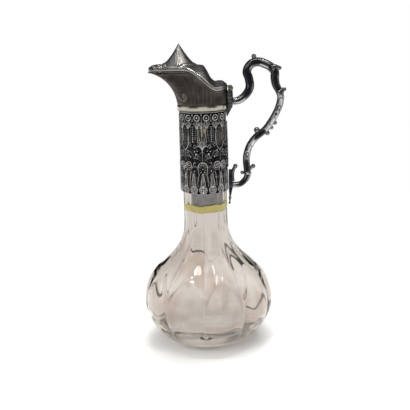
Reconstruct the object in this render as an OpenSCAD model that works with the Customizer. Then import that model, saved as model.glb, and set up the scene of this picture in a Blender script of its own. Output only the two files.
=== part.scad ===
// Claret jug: a lobed glass bottle with a cast metal neck mount, a spout cup,
// a hinged helmet lid and a scrolled handle.
// Origin at the centre of the base, +Z up, spout towards -X, handle towards +X.

/* [Glass bottle] */
// Largest radius of the bulb
belly_r = 66; // [54:1:80]
// Height of the bulb's widest level
belly_z = 45; // [38:1:54]
// Radius of the ground foot
foot_r = 33; // [26:1:42]
// Height of the ground foot
foot_h = 1.2; // [0.8:0.1:2.5]
// Outer radius at the foot of the neck
neck_r = 22.2; // [18:0.1:27]
// Height where the bulb has become the neck
neck_z = 128; // [108:1:145]
// How much the neck narrows on its way up to the lip
neck_taper = 1.2; // [0:0.1:2]
// Height of the glass lip
lip_z = 236.5; // [225:0.5:290]
// Glass thickness of bulb and neck
glass_wall = 2.7; // [2:0.1:3.5]
// Glass thickness at the middle of the base
base_t = 9; // [6:0.5:14]
// Number of pressed lobes
lobe_count = 10; // [6:1:14]
// Depth of the groove between two lobes
lobe_depth = 2; // [0:0.1:3]
// Turn of the lobes about the axis
lobe_turn = -4; // [-18:1:18]

/* [Neck mount] */
// Length of the pierced sleeve
sleeve_len = 79; // [60:1:90]
// Wall of the pierced sleeve
sleeve_wall = 1.5; // [1:0.1:2.2]
// Gap between the glass and the sleeve, at the top
sleeve_gap = 0.7; // [0.3:0.1:1.5]
// How much wider the sleeve is at its foot
sleeve_flare = 1.1; // [0:0.1:2]
// Turn of the sleeve's pattern about the axis
sleeve_turn = -4; // [-10:1:10]
// Height of the polished band above the sleeve
band_h = 6; // [4:0.5:9]
// How far the band stands out past the sleeve
band_lip = 1.6; // [0.8:0.1:2.4]

/* [Liner and seal] */
// Wall of the liner tube
liner_wall = 1.5; // [1:0.1:2]
// Gap between the liner tube and the glass bore, at the lip
liner_gap = 0.9; // [0.6:0.1:2]
// Height of the liner's lower end
liner_z = 137.5; // [130:0.5:170]
// Height of the seal ring
seal_h = 7; // [4:0.5:14]

/* [Spout cup] */
// Wall of the cup
cup_wall = 1.6; // [1.2:0.1:2.4]
// Reach of the beak from the axis
beak_reach = 50.7; // [42:0.1:60]
// Half width of the beak behind its rounded tip
beak_half = 5.5; // [4.5:0.1:9]
// Height of the beak's rim above the polished band
beak_rise = 31.4; // [26:0.1:38]
// Depth of the dip in the rim between the beak and the hinge
rim_dip = 19.4; // [14:0.1:22]
// Rise of the rim from the dip back up to the hinge
rim_back = 2.3; // [0:0.1:4]
// Height of the rolled bead along the rim
bead_h = 3.2; // [2:0.1:5]
// How far the rolled bead stands out
bead_out = 0.8; // [0.3:0.1:1.5]

/* [Lid] */
// Height of the lid's deck above the beak's rim
deck_rise = 6.4; // [5:0.1:9]
// Height of the peak above the deck
peak_h = 19.6; // [10:0.1:26]
// Distance of the peak from the axis
peak_x = 21; // [14:0.5:26]
// Radius of the peak's foot
peak_r = 15; // [10:0.5:18]
// Thickness of the lid
lid_wall = 1.4; // [1:0.1:2]
// Gap between the closed lid and the rim
lid_gap = 0.4; // [0.35:0.05:0.8]
// Height of the moulded edge round the lid
edge_h = 2; // [1.5:0.1:3]

/* [Hinge] */
// Radius of the hinge barrel
barrel_r = 2.3; // [1.9:0.1:3]
// Radius of the hinge pin
pin_r = 1.1; // [0.8:0.05:1.4]
// Play between the pin and the lid's knuckle
pin_play = 0.05; // [0.03:0.01:0.09]
// Length of the lid's knuckle
knuckle_w = 6; // [4:0.5:9]
// Length of each fixed knuckle
ear_w = 4; // [3:0.5:6]
// Gap between neighbouring knuckles
ear_gap = 0.3; // [0.2:0.05:0.5]

/* [Handle] */
// Thickness of the handle in its own plane
handle_t = 7; // [6:0.1:10]
// Width of the handle across its plane
handle_w = 6.6; // [5:0.1:10]

/* [Hidden] */
$fn = 64;

silver = [0.50, 0.50, 0.50];
dark_silver = [0.32, 0.32, 0.33];
bright_silver = [0.80, 0.79, 0.76];

// Glass: radii that follow from the driving sizes
lip_r = neck_r - neck_taper;
bore_r = lip_r - glass_wall;
function glass_neck_r(z) = neck_r - neck_taper * (z - neck_z) / (lip_z - neck_z);

// Neck mount: everything stacks up from the glass lip
sleeve_top = lip_z + 0.5;
sleeve_foot = sleeve_top - sleeve_len;
sleeve_in = lip_r + sleeve_gap;
sleeve_r = sleeve_in + sleeve_wall;
sleeve_foot_r = sleeve_r + sleeve_flare;
band_top = sleeve_top + band_h;
band_r = sleeve_r + band_lip;
cup_r = band_r - 0.4;
function sleeve_out(z) = sleeve_r + sleeve_flare * (sleeve_top - z) / sleeve_len;

// Liner: a tube with a flange that closes the gap below the cup
liner_r = bore_r - liner_gap;
liner_in = liner_r - liner_wall;
flange_t = 1.2;

// Rim of the cup, as seen from above and from the side
taper_end = 0.86;
beak_rim_z = band_top + beak_rise;
dip_a = -0.65 * cup_r;
dip_b = 0.65 * cup_r;
function smooth(t) = let (c = min(max(t, 0), 1)) c * c * (3 - 2 * c);
function mix(a, b, t) = a + (b - a) * t;
function rim_half(x) =
    x >= 0 ? sqrt(max(cup_r * cup_r - x * x, 0))
    : let (u = -x / beak_reach,
           flank = mix(cup_r, beak_half, smooth(u / taper_end)),
           tip = (u - taper_end) / (1 - taper_end))
      u <= taper_end ? flank : flank * sqrt(max(1 - tip * tip, 0));
function rim_z(x) =
    beak_rim_z - rim_dip * smooth((x - dip_a) / (dip_b - dip_a))
    + rim_back * pow(max(x / cup_r - 0.55, 0) / 0.42, 2);
function rim_x(a) = cos(a) * (a <= 90 ? cup_r : beak_reach);

// Hinge axis, behind the cup and level with its rear rim
hinge_x = cup_r + 0.8 + barrel_r;
hinge_z = rim_z(cup_r) - 0.4;
ear_y = knuckle_w / 2 + ear_gap;
hinge_half = ear_y + ear_w;
sweep_r = barrel_r + 0.4;

// Back plate of the hinge bracket
plate_x = hinge_x + barrel_r - 0.2;
plate_w = 2 * hinge_half;
plate_low = sleeve_top - 7;

// Handle: its two flat ends and its joint with the lower bracket
root_z = band_top + 1.2;
strap_x = sleeve_foot_r + 3.4;
strap_foot = sleeve_foot - 11;
strap_top = sleeve_foot + 19;
strap_w = 8;
tail_z = sleeve_foot + 3.4;

// A point on a cubic curve with four control points
function bez(p, t) =
    pow(1 - t, 3) * p[0] + 3 * t * pow(1 - t, 2) * p[1]
    + 3 * t * t * (1 - t) * p[2] + pow(t, 3) * p[3];
function bez_run(p, n, from = 0) = [for (i = [from:n]) bez(p, i / n)];

// Closed solid through rings of equal count, each counter-clockwise from above
module skin(rings) {
    n = len(rings[0]);
    m = len(rings);
    polyhedron(
        points = [for (r = rings) each r],
        faces = [
            for (i = [0:m - 2], j = [0:n - 1])
                let (a = i * n + j, b = a + n, c = i * n + (j + 1) % n, d = c + n)
                each [[a, b, d], [a, d, c]],
            [for (j = [0:n - 1]) j],
            [for (j = [0:n - 1]) m * n - 1 - j]
        ]);
}

// The same with the last ring joined back to the first, for a wall with a hollow inside
module ring_skin(rings) {
    n = len(rings[0]);
    m = len(rings);
    polyhedron(
        points = [for (r = rings) each r],
        faces = [
            for (i = [0:m - 1], j = [0:n - 1])
                let (a = i * n + j, b = ((i + 1) % m) * n + j,
                     c = i * n + (j + 1) % n, d = ((i + 1) % m) * n + (j + 1) % n)
                each [[a, b, d], [a, d, c]]
        ]);
}

// Indices round the border of a grid of n rows with m points, counter-clockwise from above
function border(n, m) = concat(
    [for (k = [0:m - 1]) k],
    [for (i = [1:n - 1]) i * m + m - 1],
    [for (k = [m - 2:-1:0]) (n - 1) * m + k],
    [for (i = [n - 2:-1:1]) i * m]);

// A shell between an upper and a lower grid of equal size, whose border drops to two lower loops
module shell(upper, lower, upper_drop, lower_drop) {
    n = len(upper);
    m = len(upper[0]);
    s = n * m;
    loop = border(n, m);
    c = len(loop);
    rings = [[for (i = loop) i + s], [for (j = [0:c - 1]) 2 * s + j],
             [for (j = [0:c - 1]) 2 * s + c + j], loop];
    polyhedron(
        points = concat([for (r = upper) each r], [for (r = lower) each r], lower_drop, upper_drop),
        faces = [
            for (i = [0:n - 2], k = [0:m - 2])
                let (a = i * m + k, b = a + 1, d = a + m, e = d + 1)
                each [[a, d, e], [a, e, b], [a + s, e + s, d + s], [a + s, b + s, e + s]],
            for (q = [0:2], j = [0:c - 1])
                let (f = rings[q], g = rings[q + 1], t = (j + 1) % c)
                each [[f[j], g[j], g[t]], [f[j], g[t], f[t]]]
        ]);
}

// Outline of the bulb and neck from the foot up, as [radius, height]
bulb_low = [[foot_r, 0], [foot_r, 1], [belly_r, belly_z * 0.25], [belly_r, belly_z]];
shoulder = [[belly_r, belly_z], [belly_r, belly_z + (neck_z - belly_z) * 0.48],
            [neck_r, neck_z - (neck_z - belly_z) * 0.52], [neck_r, neck_z]];
outline = concat(bez_run(bulb_low, 12), bez_run(shoulder, 14, 1),
                 [for (i = [1:4]) let (z = mix(neck_z, lip_z, i / 4)) [glass_neck_r(z), z]]);

// Lobes are fullest on the bulb, fainter on the neck and gone at the foot and lip
function lobe_strength(z) =
    smooth(z / (belly_z * 0.5)) * mix(1, 0.5, smooth((z - belly_z) / (neck_z - belly_z)))
    * smooth((lip_z - z) / (lip_z - neck_z) * 1.4);
function lobe(a) = let (s = abs(sin((a - lobe_turn) * lobe_count / 2))) pow(1 - s, 2);

module glass_body() {
    around = lobe_count * 6;
    inner_low = [[0, base_t], [foot_r + 6, base_t - 1],
                 [belly_r - glass_wall, belly_z * 0.42], [belly_r - glass_wall, belly_z]];
    inner_high = [for (p = shoulder) [p[0] - glass_wall, p[1]]];
    color([0.86, 0.88, 0.86, 0.45])
    difference() {
        union() {
            cylinder(h = foot_h, r = foot_r);
            skin([for (p = outline)
                let (z = max(p[1], foot_h * 0.5))
                [for (j = [0:around - 1])
                    let (a = j * 360 / around + lobe_turn - 90,
                         r = p[0] - lobe_depth * lobe_strength(z) * lobe(a + 90))
                    [r * cos(a), r * sin(a), z]]
                ]);
        }
        rotate_extrude()
            polygon(concat(bez_run(inner_low, 10), bez_run(inner_high, 14, 1),
                [[bore_r, lip_z], [bore_r, lip_z + 1], [0, lip_z + 1]]));
    }
}

// Windows of the sleeve, u along the arc from a panel's middle, v up from the sleeve's foot
module slot_pair(u, low, high, r) {
    for (s = [-1, 1]) {
        translate([s * u - r, low]) square([2 * r, high - low]);
        for (v = [low, high]) translate([s * u, v]) circle(r);
    }
}
module drop(low, high, r) {
    translate([0, low]) circle(r);
    polygon([[-r * 0.94, low + r * 0.34], [r * 0.94, low + r * 0.34], [0, high]]);
}
module lattice_panel() {
    slot_pair(sleeve_foot_r * 0.086, sleeve_len - 21, sleeve_len - 14.2, 1.4);
    slot_pair(sleeve_foot_r * 0.115, sleeve_len - 27.4, sleeve_len - 25.2, 0.9);
}
module scroll_panel() {
    slot_pair(sleeve_foot_r * 0.08, sleeve_len - 29, sleeve_len - 19, 0.8);
}

// Cuts a flat window shape through the sleeve at an angle from its front
module pierce(angle) {
    rotate([0, 0, angle + sleeve_turn])
    translate([0, -(lip_r - 2), sleeve_foot])
    rotate([90, 0, 0])
    linear_extrude(height = 12) children();
}

module collar_sleeve() {
    panels = 8;
    drops = 16;
    // The angle where the handle's brackets sit stays whole
    back = 90;
    color(dark_silver)
    difference() {
        translate([0, 0, sleeve_foot])
            cylinder(h = sleeve_len, r1 = sleeve_foot_r, r2 = sleeve_r);
        translate([0, 0, sleeve_foot])
            cylinder(h = sleeve_len, r1 = sleeve_foot_r - sleeve_wall, r2 = sleeve_in);
        for (i = [0:panels - 1])
            if (i * 360 / panels != back)
                pierce(i * 360 / panels) if (i % 2 == 0) lattice_panel(); else scroll_panel();
        for (i = [0:drops - 1])
            if (i * 360 / drops != back) pierce(i * 360 / drops) drop(9.5, 19.5, 1.55);
    }
}

module neck_band() {
    mid = (sleeve_top + band_top) / 2;
    color(bright_silver)
    rotate_extrude()
        polygon([[lip_r + 0.3, sleeve_top], [sleeve_r, sleeve_top],
                 [band_r - 0.4, sleeve_top + 0.6], [band_r, mid - 1.4], [band_r, mid + 1.4],
                 [band_r - 0.4, band_top], [lip_r + 0.3, band_top]]);
}

module neck_liner() {
    color(silver)
    rotate_extrude()
        polygon([[liner_in, liner_z], [liner_r, liner_z], [liner_r, band_top],
                 [cup_r - cup_wall - 0.1, band_top], [cup_r - cup_wall - 0.1, band_top + flange_t],
                 [liner_in, band_top + flange_t]]);
}

module seal_ring() {
    color([0.86, 0.80, 0.36])
    translate([0, 0, liner_z + 0.5])
    difference() {
        cylinder(h = seal_h, r1 = glass_neck_r(liner_z + 0.5) - glass_wall - 0.1,
                 r2 = glass_neck_r(liner_z + 0.5 + seal_h) - glass_wall - 0.1);
        translate([0, 0, -1]) cylinder(h = seal_h + 2, r = liner_r);
    }
}

module lip_cement() {
    color([0.82, 0.79, 0.72])
    translate([0, 0, lip_z])
    difference() {
        cylinder(h = band_top - lip_z, r = lip_r);
        translate([0, 0, -1]) cylinder(h = band_top - lip_z + 2, r = liner_r);
    }
}

// Stations along the rim, shared by the cup and the lid: angles from the hinge round to the beak
lid_back = cup_r - 0.5;
back_run = 28;
front_run = 14;
a_back = acos(lid_back / cup_r);
a_peak = acos(-peak_x / beak_reach);
a_tip = 175;
lid_a = concat([for (i = [0:back_run]) mix(a_back, a_peak, i / back_run)],
               [for (i = [1:front_run]) mix(a_peak, a_tip, i / front_run)]);
half_a = concat([0, a_back / 2], lid_a, [180]);
rim_a = concat(half_a, [for (i = [len(half_a) - 2:-1:1]) 360 - half_a[i]]);
full_rim = [for (a = rim_a)
    let (x = rim_x(a <= 180 ? a : 360 - a)) [x, rim_half(x) * (a <= 180 ? 1 : -1)]];

// Unit normal of the rim at point i, and the rim moved inwards
function rim_normal(i) =
    let (n = len(full_rim), a = full_rim[(i + n - 1) % n], b = full_rim[(i + 1) % n], d = b - a)
    [d[1], -d[0]] / norm(d);
function rim_at(i, inset) = full_rim[i] - inset * rim_normal(i);
function foot_at(i, inset) =
    (cup_r - inset) * [cos(rim_a[i]), sin(rim_a[i])];

// Point of the cup's wall at rim point i and height share t, moved inwards by inset
function wall_at(i, t, inset, low, drop) =
    let (f = foot_at(i, inset), r = rim_at(i, inset), d = r - f,
         top = rim_z(r[0]) - drop, h = top - low)
    bez([[f[0], f[1], low],
         [f[0] + 0.05 * d[0], f[1] + 0.05 * d[1], low + 0.44 * h],
         [f[0] + 0.38 * d[0], f[1] + 0.38 * d[1], low + 0.87 * h],
         [r[0], r[1], top]], t);
// The bead thins out along the beak, and stops short of the hinge
function bead_depth(i) = mix(bead_h, 1.1, smooth((-full_rim[i][0] - cup_r * 0.8) / (beak_reach - cup_r)));
function bead_swell(i) =
    full_rim[i][0] < 0 ? bead_out : bead_out * smooth((abs(full_rim[i][1]) - hinge_half - 0.5) / 4);

module spout_cup() {
    n = len(full_rim);
    rows = 7;
    function ring(t, inset, low, drop) = [for (i = [0:n - 1]) wall_at(i, t, inset, low, drop)];
    function bead_ring(share, out) = [for (i = [0:n - 1])
        let (p = rim_at(i, -out * bead_swell(i)))
        [p[0], p[1], rim_z(p[0]) - share * bead_depth(i)]];
    outer = [for (k = [0:rows])
        [for (i = [0:n - 1]) wall_at(i, k / rows, 0, band_top, bead_depth(i))]];
    inner = [for (k = [rows:-1:0]) ring(k / rows, cup_wall, band_top, 0)];
    color(dark_silver)
    ring_skin(concat(outer, [bead_ring(0.85, 1), bead_ring(0.15, 1), bead_ring(0, 0.4)], inner));
}

// Height of the lid's crest line, of its edge and of any point of its top
tail_r = 0.33 * cup_r;
deck_z = beak_rim_z + deck_rise;
function crest_z(x) =
    let (nose = smooth((x + beak_reach) / 13), back = smooth((x + 0.06 * cup_r) / (0.51 * cup_r)),
         dome = max(1 - pow((x - 0.69 * cup_r) / tail_r, 2), 0))
    mix(beak_rim_z + edge_h + lid_gap, deck_z, nose)
    - back * (rim_dip - 0.4) + 2.4 * dome - 1.6 * smooth((x - 0.8 * cup_r) / (0.2 * cup_r));
function peak_lift(x, y) =
    let (d = pow(pow(abs(x + peak_x), 2.4) + pow(abs(y), 2.4), 1 / 2.4) / peak_r)
    peak_h * pow(max(1 - d, 0), 1.6);
function lid_top(x, y, half) =
    let (edge = rim_z(x) + lid_gap + edge_h, s = min(abs(y) / half, 1))
    edge + max(crest_z(x) - edge, 0.2) * pow(1 - pow(s, 2.2), 0.55) + peak_lift(x, y) * (1 - pow(s, 4));

shares = [1, 0.97, 0.9, 0.8, 0.68, 0.55, 0.42, 0.3, 0.2, 0.1];
across = concat(shares, [0], [for (i = [len(shares) - 1:-1:0]) -shares[i]]);

module lid() {
    function row(x, half, inset) =
        [for (s = across)
            [x, -s * half, lid_top(x, s * (half + inset), half + inset) - inset * 1.1]];
    function dropped(grid) =
        let (points = [for (r = grid) each r])
        [for (i = border(len(grid), len(grid[0]))) [points[i][0], points[i][1], rim_z(points[i][0]) + lid_gap]];
    xs = [for (a = lid_a) rim_x(a)];
    mid_x = (xs[0] + xs[len(xs) - 1]) / 2;
    shrink = 1 - 2 * lid_wall / (xs[0] - xs[len(xs) - 1]);
    upper = [for (x = xs) row(x, rim_half(x), 0)];
    lower = [for (x = xs) let (xi = mid_x + (x - mid_x) * shrink)
        row(xi, max(rim_half(xi) - lid_wall, 0.4), lid_wall)];
    color(silver) shell(upper, lower, dropped(upper), dropped(lower));
}

// Arm between the lid's back edge and its knuckle
module lid_leaf() {
    arm_t = 1.6;
    color(silver)
    translate([0, knuckle_w / 2, 0])
    rotate([90, 0, 0])
    linear_extrude(height = knuckle_w)
    difference() {
        union() {
            translate([hinge_x, hinge_z]) circle(barrel_r);
            translate([lid_back, hinge_z + barrel_r - arm_t]) square([hinge_x - lid_back, arm_t]);
        }
        translate([hinge_x, hinge_z]) circle(pin_r + pin_play);
    }
}

module hinge_pin() {
    head_r = pin_r + 0.6;
    head_t = 1;
    color(bright_silver)
    translate([hinge_x, 0, hinge_z])
    rotate([90, 0, 0]) {
        cylinder(h = 2 * hinge_half, r = pin_r, center = true);
        for (s = [-1, 1])
            translate([0, 0, s * (hinge_half + head_t / 2)]) cylinder(h = head_t, r = head_r, center = true);
    }
}

// Plate down the back of the cup, with the two fixed knuckles on top
module hinge_bracket() {
    color(dark_silver)
    difference() {
        union() {
            translate([0, hinge_half, 0])
            rotate([90, 0, 0])
            linear_extrude(height = plate_w)
                polygon([[cup_r - 3, plate_low], [sleeve_out(plate_low) + 0.3, plate_low],
                         [plate_x - 3.6, plate_low + 4], [plate_x, sleeve_top + 3],
                         [plate_x, band_top + 7], [plate_x - 0.4, hinge_z], [hinge_x, hinge_z],
                         [hinge_x - barrel_r, hinge_z - 1.6], [cup_r - 3, hinge_z - 1.6]]);
            translate([hinge_x, hinge_half, hinge_z])
            rotate([90, 0, 0]) cylinder(h = plate_w, r = barrel_r);
        }
        translate([0, 0, band_top]) cylinder(h = 60, r = cup_r + 0.1);
        translate([0, 0, sleeve_top - 0.1]) cylinder(h = band_h + 0.2, r = band_r);
        translate([0, 0, sleeve_foot])
            cylinder(h = sleeve_len, r1 = sleeve_foot_r, r2 = sleeve_r);
        translate([hinge_x - sweep_r - 4, -ear_y, hinge_z - sweep_r])
            cube([2 * sweep_r + 8, 2 * ear_y, 20]);
        translate([hinge_x, hinge_half + 1, hinge_z])
        rotate([90, 0, 0]) cylinder(h = plate_w + 2, r = pin_r);
    }
}

// Route of the handle's centre from its root on the plate to its tail on the lower bracket
arch_z = beak_rim_z + 6.2;
route = concat(
    [for (p = [[0, root_z], [6, root_z + 1], [12.4, band_top + 7], [16.4, band_top + 14],
               [15.6, band_top + 22.5], [13.8, band_top + 28], [15.4, arch_z - 4.5], [19.4, arch_z - 0.9],
               [25.4, arch_z], [30.9, arch_z - 1.8], [36.4, arch_z - 4.8], [40.4, arch_z - 9.5],
               [40.6, arch_z - 16], [41.6, arch_z - 22], [44.6, arch_z - 28], [46.2, arch_z - 34],
               [44.8, arch_z - 42], [41, arch_z - 50.5], [36.4, arch_z - 58], [31.4, arch_z - 64.5],
               [26.4, arch_z - 68.5], [21.4, arch_z - 72.5], [16.4, arch_z - 79]]) [plate_x + p[0], p[1]]],
    [for (p = [[15.1, arch_z - 87], [13.9, arch_z - 95], [14.8, sleeve_foot + 16.5],
               [14.3, sleeve_foot + 11], [11.1, sleeve_foot + 6.6], [6.9, sleeve_foot + 3.8],
               [0, tail_z]]) [strap_x + p[0], p[1]]]);

// Smooth run through all the points of a route
function glide(p, i, t) =
    let (a = p[max(i - 1, 0)], b = p[i], c = p[i + 1], d = p[min(i + 2, len(p) - 1)])
    bez([b, b + (c - a) / 6, c - (d - b) / 6, c], t);
centre = concat([for (i = [0:len(route) - 2], k = [0, 1]) glide(route, i, k / 2)], [route[len(route) - 1]]);
function heading(i) =
    i == 0 ? [1, 0] : i == len(centre) - 1 ? [-1, 0]
    : let (d = centre[i + 1] - centre[i - 1]) d / norm(d);
// The upper scroll is the thickest stretch, and both ends are slimmer
function swell(i) = let (u = i / (len(centre) - 1))
    0.86 + 0.26 * smooth(u / 0.12) * smooth((0.42 - u) / 0.1) - 0.08 * smooth((u - 0.82) / 0.1);

module bud(x, z, r) {
    translate([x, 0, z]) sphere(r, $fn = 20);
}
// A pointed spur from a base point to its tip
module spur(x, z, tip_x, tip_z, r, tip_r) {
    reach = norm([tip_x - x, tip_z - z]);
    translate([x, 0, z])
    rotate([0, atan2(tip_x - x, tip_z - z), 0]) {
        cylinder(h = reach, r1 = r, r2 = tip_r, $fn = 20);
        translate([0, 0, reach]) sphere(tip_r, $fn = 20);
    }
}

module handle() {
    sides = 12;
    color(dark_silver) {
        skin([for (i = [0:len(centre) - 1])
            let (c = centre[i], h = heading(i), s = swell(i))
            [for (j = [0:sides - 1])
                let (a = j * 360 / sides, u = cos(a) * handle_t / 2 * s, v = -sin(a) * handle_w / 2 * s)
                [c[0] - h[1] * u, v, c[1] + h[0] * u]]]);
        spur(plate_x + 19.9, arch_z, plate_x + 20.7, arch_z + 4.6, 2.2, 1.4);
        bud(plate_x + 20.7, arch_z + 5.3, 2.4);
        spur(plate_x + 37.9, arch_z - 6, plate_x + 46.4, arch_z - 5.8, 3.4, 1.3);
        spur(plate_x + 45.4, arch_z - 30, plate_x + 50.6, arch_z - 25.6, 3.2, 1.1);
        bud(plate_x + 22.8, arch_z - 65.2, 3);
        bud(plate_x + 41.2, arch_z - 59, 1.9);
        bud(plate_x + 37.8, arch_z - 63.6, 1.8);
        bud(plate_x + 33.8, arch_z - 69, 2.2);
        spur(strap_x + 14.7, sleeve_foot + 16, strap_x + 20.5, sleeve_foot + 21.4, 3, 1.6);
        bud(strap_x + 20.7, sleeve_foot + 21.6, 2.3);
        bud(strap_x + 9.7, sleeve_foot + 15.6, 1.8);
        translate([strap_x + 14.7, 0, sleeve_foot + 15])
        rotate([0, 6, 0])
            cylinder(h = 2.4, r = 4.2, center = true, $fn = 20);
    }
}

// Strap down the sleeve that takes the handle's tail, with a curl on top and a leaf below
module lower_bracket() {
    curl_x = strap_x + 2.4;
    color(dark_silver) {
        difference() {
            union() {
                translate([0, strap_w / 2, 0])
                rotate([90, 0, 0])
                linear_extrude(height = strap_w)
                    polygon([[lip_r, strap_foot], [sleeve_foot_r + 0.8, strap_foot],
                             [strap_x - 0.6, sleeve_foot - 2], [strap_x, sleeve_foot],
                             [strap_x, strap_top - 4], [strap_x - 1.2, strap_top], [lip_r, strap_top]]);
                spur(strap_x - 1.4, strap_top - 5, curl_x, strap_top + 2.2, 1.4, 1.1);
            }
            translate([0, 0, strap_foot - 1])
                cylinder(h = sleeve_foot - strap_foot + 1.01, r = sleeve_foot_r);
            translate([0, 0, sleeve_foot])
                cylinder(h = sleeve_len, r1 = sleeve_foot_r, r2 = sleeve_r);
        }
        bud(curl_x, strap_top + 2.9, 1.8);
        spur(sleeve_foot_r + 0.4, strap_foot + 1, sleeve_foot_r - 0.2, strap_foot - 3.4, 0.6, 0.4);
        bud(sleeve_foot_r - 0.3, strap_foot - 4.4, 1.2);
    }
}

glass_body();
collar_sleeve();
neck_band();
spout_cup();
neck_liner();
seal_ring();
lip_cement();
hinge_bracket();
hinge_pin();
lid();
lid_leaf();
handle();
lower_bracket();
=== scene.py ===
# %% [markdown]
# # A claret jug in lobed glass and oxidised silver plate
# The jug is a pressed glass bottle whose neck wears a cast, pierced sleeve. Above it sit a
# polished band, a spout cup, a hinged helmet lid and a scrolled handle. The CAD model gives
# every size and place. Each step below works out one finer surface with numpy, in the same
# frame, and hangs it on the CAD body that it moves with.

# %% Load the CAD frame and keep its box
import bpy
import numpy as np
from mathutils import Matrix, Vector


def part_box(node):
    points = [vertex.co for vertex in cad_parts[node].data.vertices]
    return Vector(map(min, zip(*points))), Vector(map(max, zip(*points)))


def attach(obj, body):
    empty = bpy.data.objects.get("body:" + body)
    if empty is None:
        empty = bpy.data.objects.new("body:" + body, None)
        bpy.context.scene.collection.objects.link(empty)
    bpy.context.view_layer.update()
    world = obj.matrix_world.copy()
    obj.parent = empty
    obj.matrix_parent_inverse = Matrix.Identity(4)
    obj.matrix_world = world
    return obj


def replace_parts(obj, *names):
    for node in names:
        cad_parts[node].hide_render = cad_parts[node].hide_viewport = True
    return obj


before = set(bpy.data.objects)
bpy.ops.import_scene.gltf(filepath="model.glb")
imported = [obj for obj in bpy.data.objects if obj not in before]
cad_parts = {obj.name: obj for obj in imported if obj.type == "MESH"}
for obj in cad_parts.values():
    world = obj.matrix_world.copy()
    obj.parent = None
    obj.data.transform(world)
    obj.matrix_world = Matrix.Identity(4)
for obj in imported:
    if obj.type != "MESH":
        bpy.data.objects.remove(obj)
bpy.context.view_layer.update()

# %% [markdown]
# ## Tools for shapes
# Almost every piece here is a sheet of points in rows and columns. Blender could spin or
# sweep such shapes with modifiers, but arrays keep exact control over flutes, scrolls and
# leaves, and a hundred thousand points take a fraction of a second.

# %% Curves used by many pieces, in millimetres
def ease(t):
    """Rises smoothly from 0 to 1: three times t squared less twice t cubed, with t held in 0 to 1."""
    c = np.clip(t, 0, 1)
    return c * c * (3 - 2 * c)


def between(a, b, t):
    """The value a share t of the way from a to b."""
    return a + (b - a) * t


def bend(a, b, c, d, t):
    """Cubic curve from a to d that leaves towards b and arrives from c."""
    return (1 - t) ** 3 * a + 3 * t * (1 - t) ** 2 * b + 3 * t * t * (1 - t) * c + t ** 3 * d


def hump(x, centre, half):
    """Round bump of height 1 at centre that is gone half a width away on either side."""
    return np.sqrt(np.clip(1 - ((x - centre) / half) ** 2, 0, 1))


print("ease at a quarter", ease(0.25))

# %% Faces of a grid, and a mesh from arrays
def grid_faces(rows, cols, round_rows=False, round_cols=True, start=0):
    """Four-sided faces between neighbouring rows and columns, which may join up with themselves."""
    i = np.arange(rows if round_rows else rows - 1)[:, None]
    j = np.arange(cols if round_cols else cols - 1)[None, :]
    up, right = (i + 1) % rows * cols, (j + 1) % cols
    corners = [i * cols + j, i * cols + right, up + right, up + j]
    return start + np.stack(np.broadcast_arrays(*corners), -1).reshape(-1, 4)


def fan_faces(ring, hub):
    """Triangles from each edge of a ring of point numbers to one hub point."""
    ring = np.asarray(ring)
    return np.stack([ring, np.roll(ring, -1), np.full(len(ring), hub)], -1)


def end_fans(count, cols):
    """Fans that close a tube of count points, whose two hubs follow as the next two points."""
    return [fan_faces(np.arange(cols)[::-1], count),
            fan_faces(np.arange(count - cols, count), count + 1)]


def tube(rings, wear, end_wear):
    """A closed part from rows of rings, with a hub in the middle of the first and last ring."""
    rows, cols = rings.shape[:2]
    faces = [grid_faces(rows, cols), *end_fans(rows * cols, cols)]
    worn = np.append(np.broadcast_to(wear, (rows, cols)), [end_wear, end_wear])
    return np.concatenate([rings.reshape(-1, 3), rings[[0, -1]].mean(1)]), faces, worn


def gather(parts):
    """Joins several (points, list of face arrays, per-point value for the worn tone and painted sheen)
    parts into one, shifting the point numbers.
    """
    points, faces, wear, count = [], [], [], 0
    for p, f, w in parts:
        points.append(p)
        faces += [a + count for a in f]
        wear.append(np.broadcast_to(w, len(p)))
        count += len(p)
    return np.concatenate(points), faces, np.concatenate(wear)


def make_piece(name, part, body, slot, finish, *stands_for):
    """A piece from one part: points in millimetres, face arrays and how worn each point is, a value that on
    some pieces also holds painted highlights and painted shade.
    """
    points, faces, wear = part
    corners = np.concatenate([f.ravel() for f in faces]).astype(np.int32)
    sides = np.concatenate([np.full(len(f), f.shape[1]) for f in faces])
    mesh = bpy.data.meshes.new(name)
    mesh.vertices.add(len(points))
    mesh.vertices.foreach_set("co", (points * 0.001).astype(np.float32).ravel())
    mesh.loops.add(len(corners))
    mesh.loops.foreach_set("vertex_index", corners)
    mesh.polygons.add(len(sides))
    mesh.polygons.foreach_set("loop_start", (np.cumsum(sides) - sides).astype(np.int32))
    mesh.update(calc_edges=True)
    mesh.validate()
    mesh.shade_smooth()
    mesh.attributes.new("wear", "FLOAT", "POINT").data.foreach_set(
        "value", np.broadcast_to(wear, len(points)).astype(np.float32))
    mesh.materials.append(finish)
    piece = bpy.data.objects.new(name, mesh)
    bpy.context.scene.collection.objects.link(piece)
    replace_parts(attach(piece, body), *stands_for)
    low, high = points[:, 2].min(), points[:, 2].max()
    print(name, "triangles", int((sides - 2).sum()), "height %.1f to %.1f" % (low, high))
    return piece


# %% [markdown]
# ## Tools for finishes
# A finish is a small network of shader nodes. Writing it as sums in Python keeps it readable:
# one class stands for a socket, and an ordinary operator on it adds the Math node.

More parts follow.
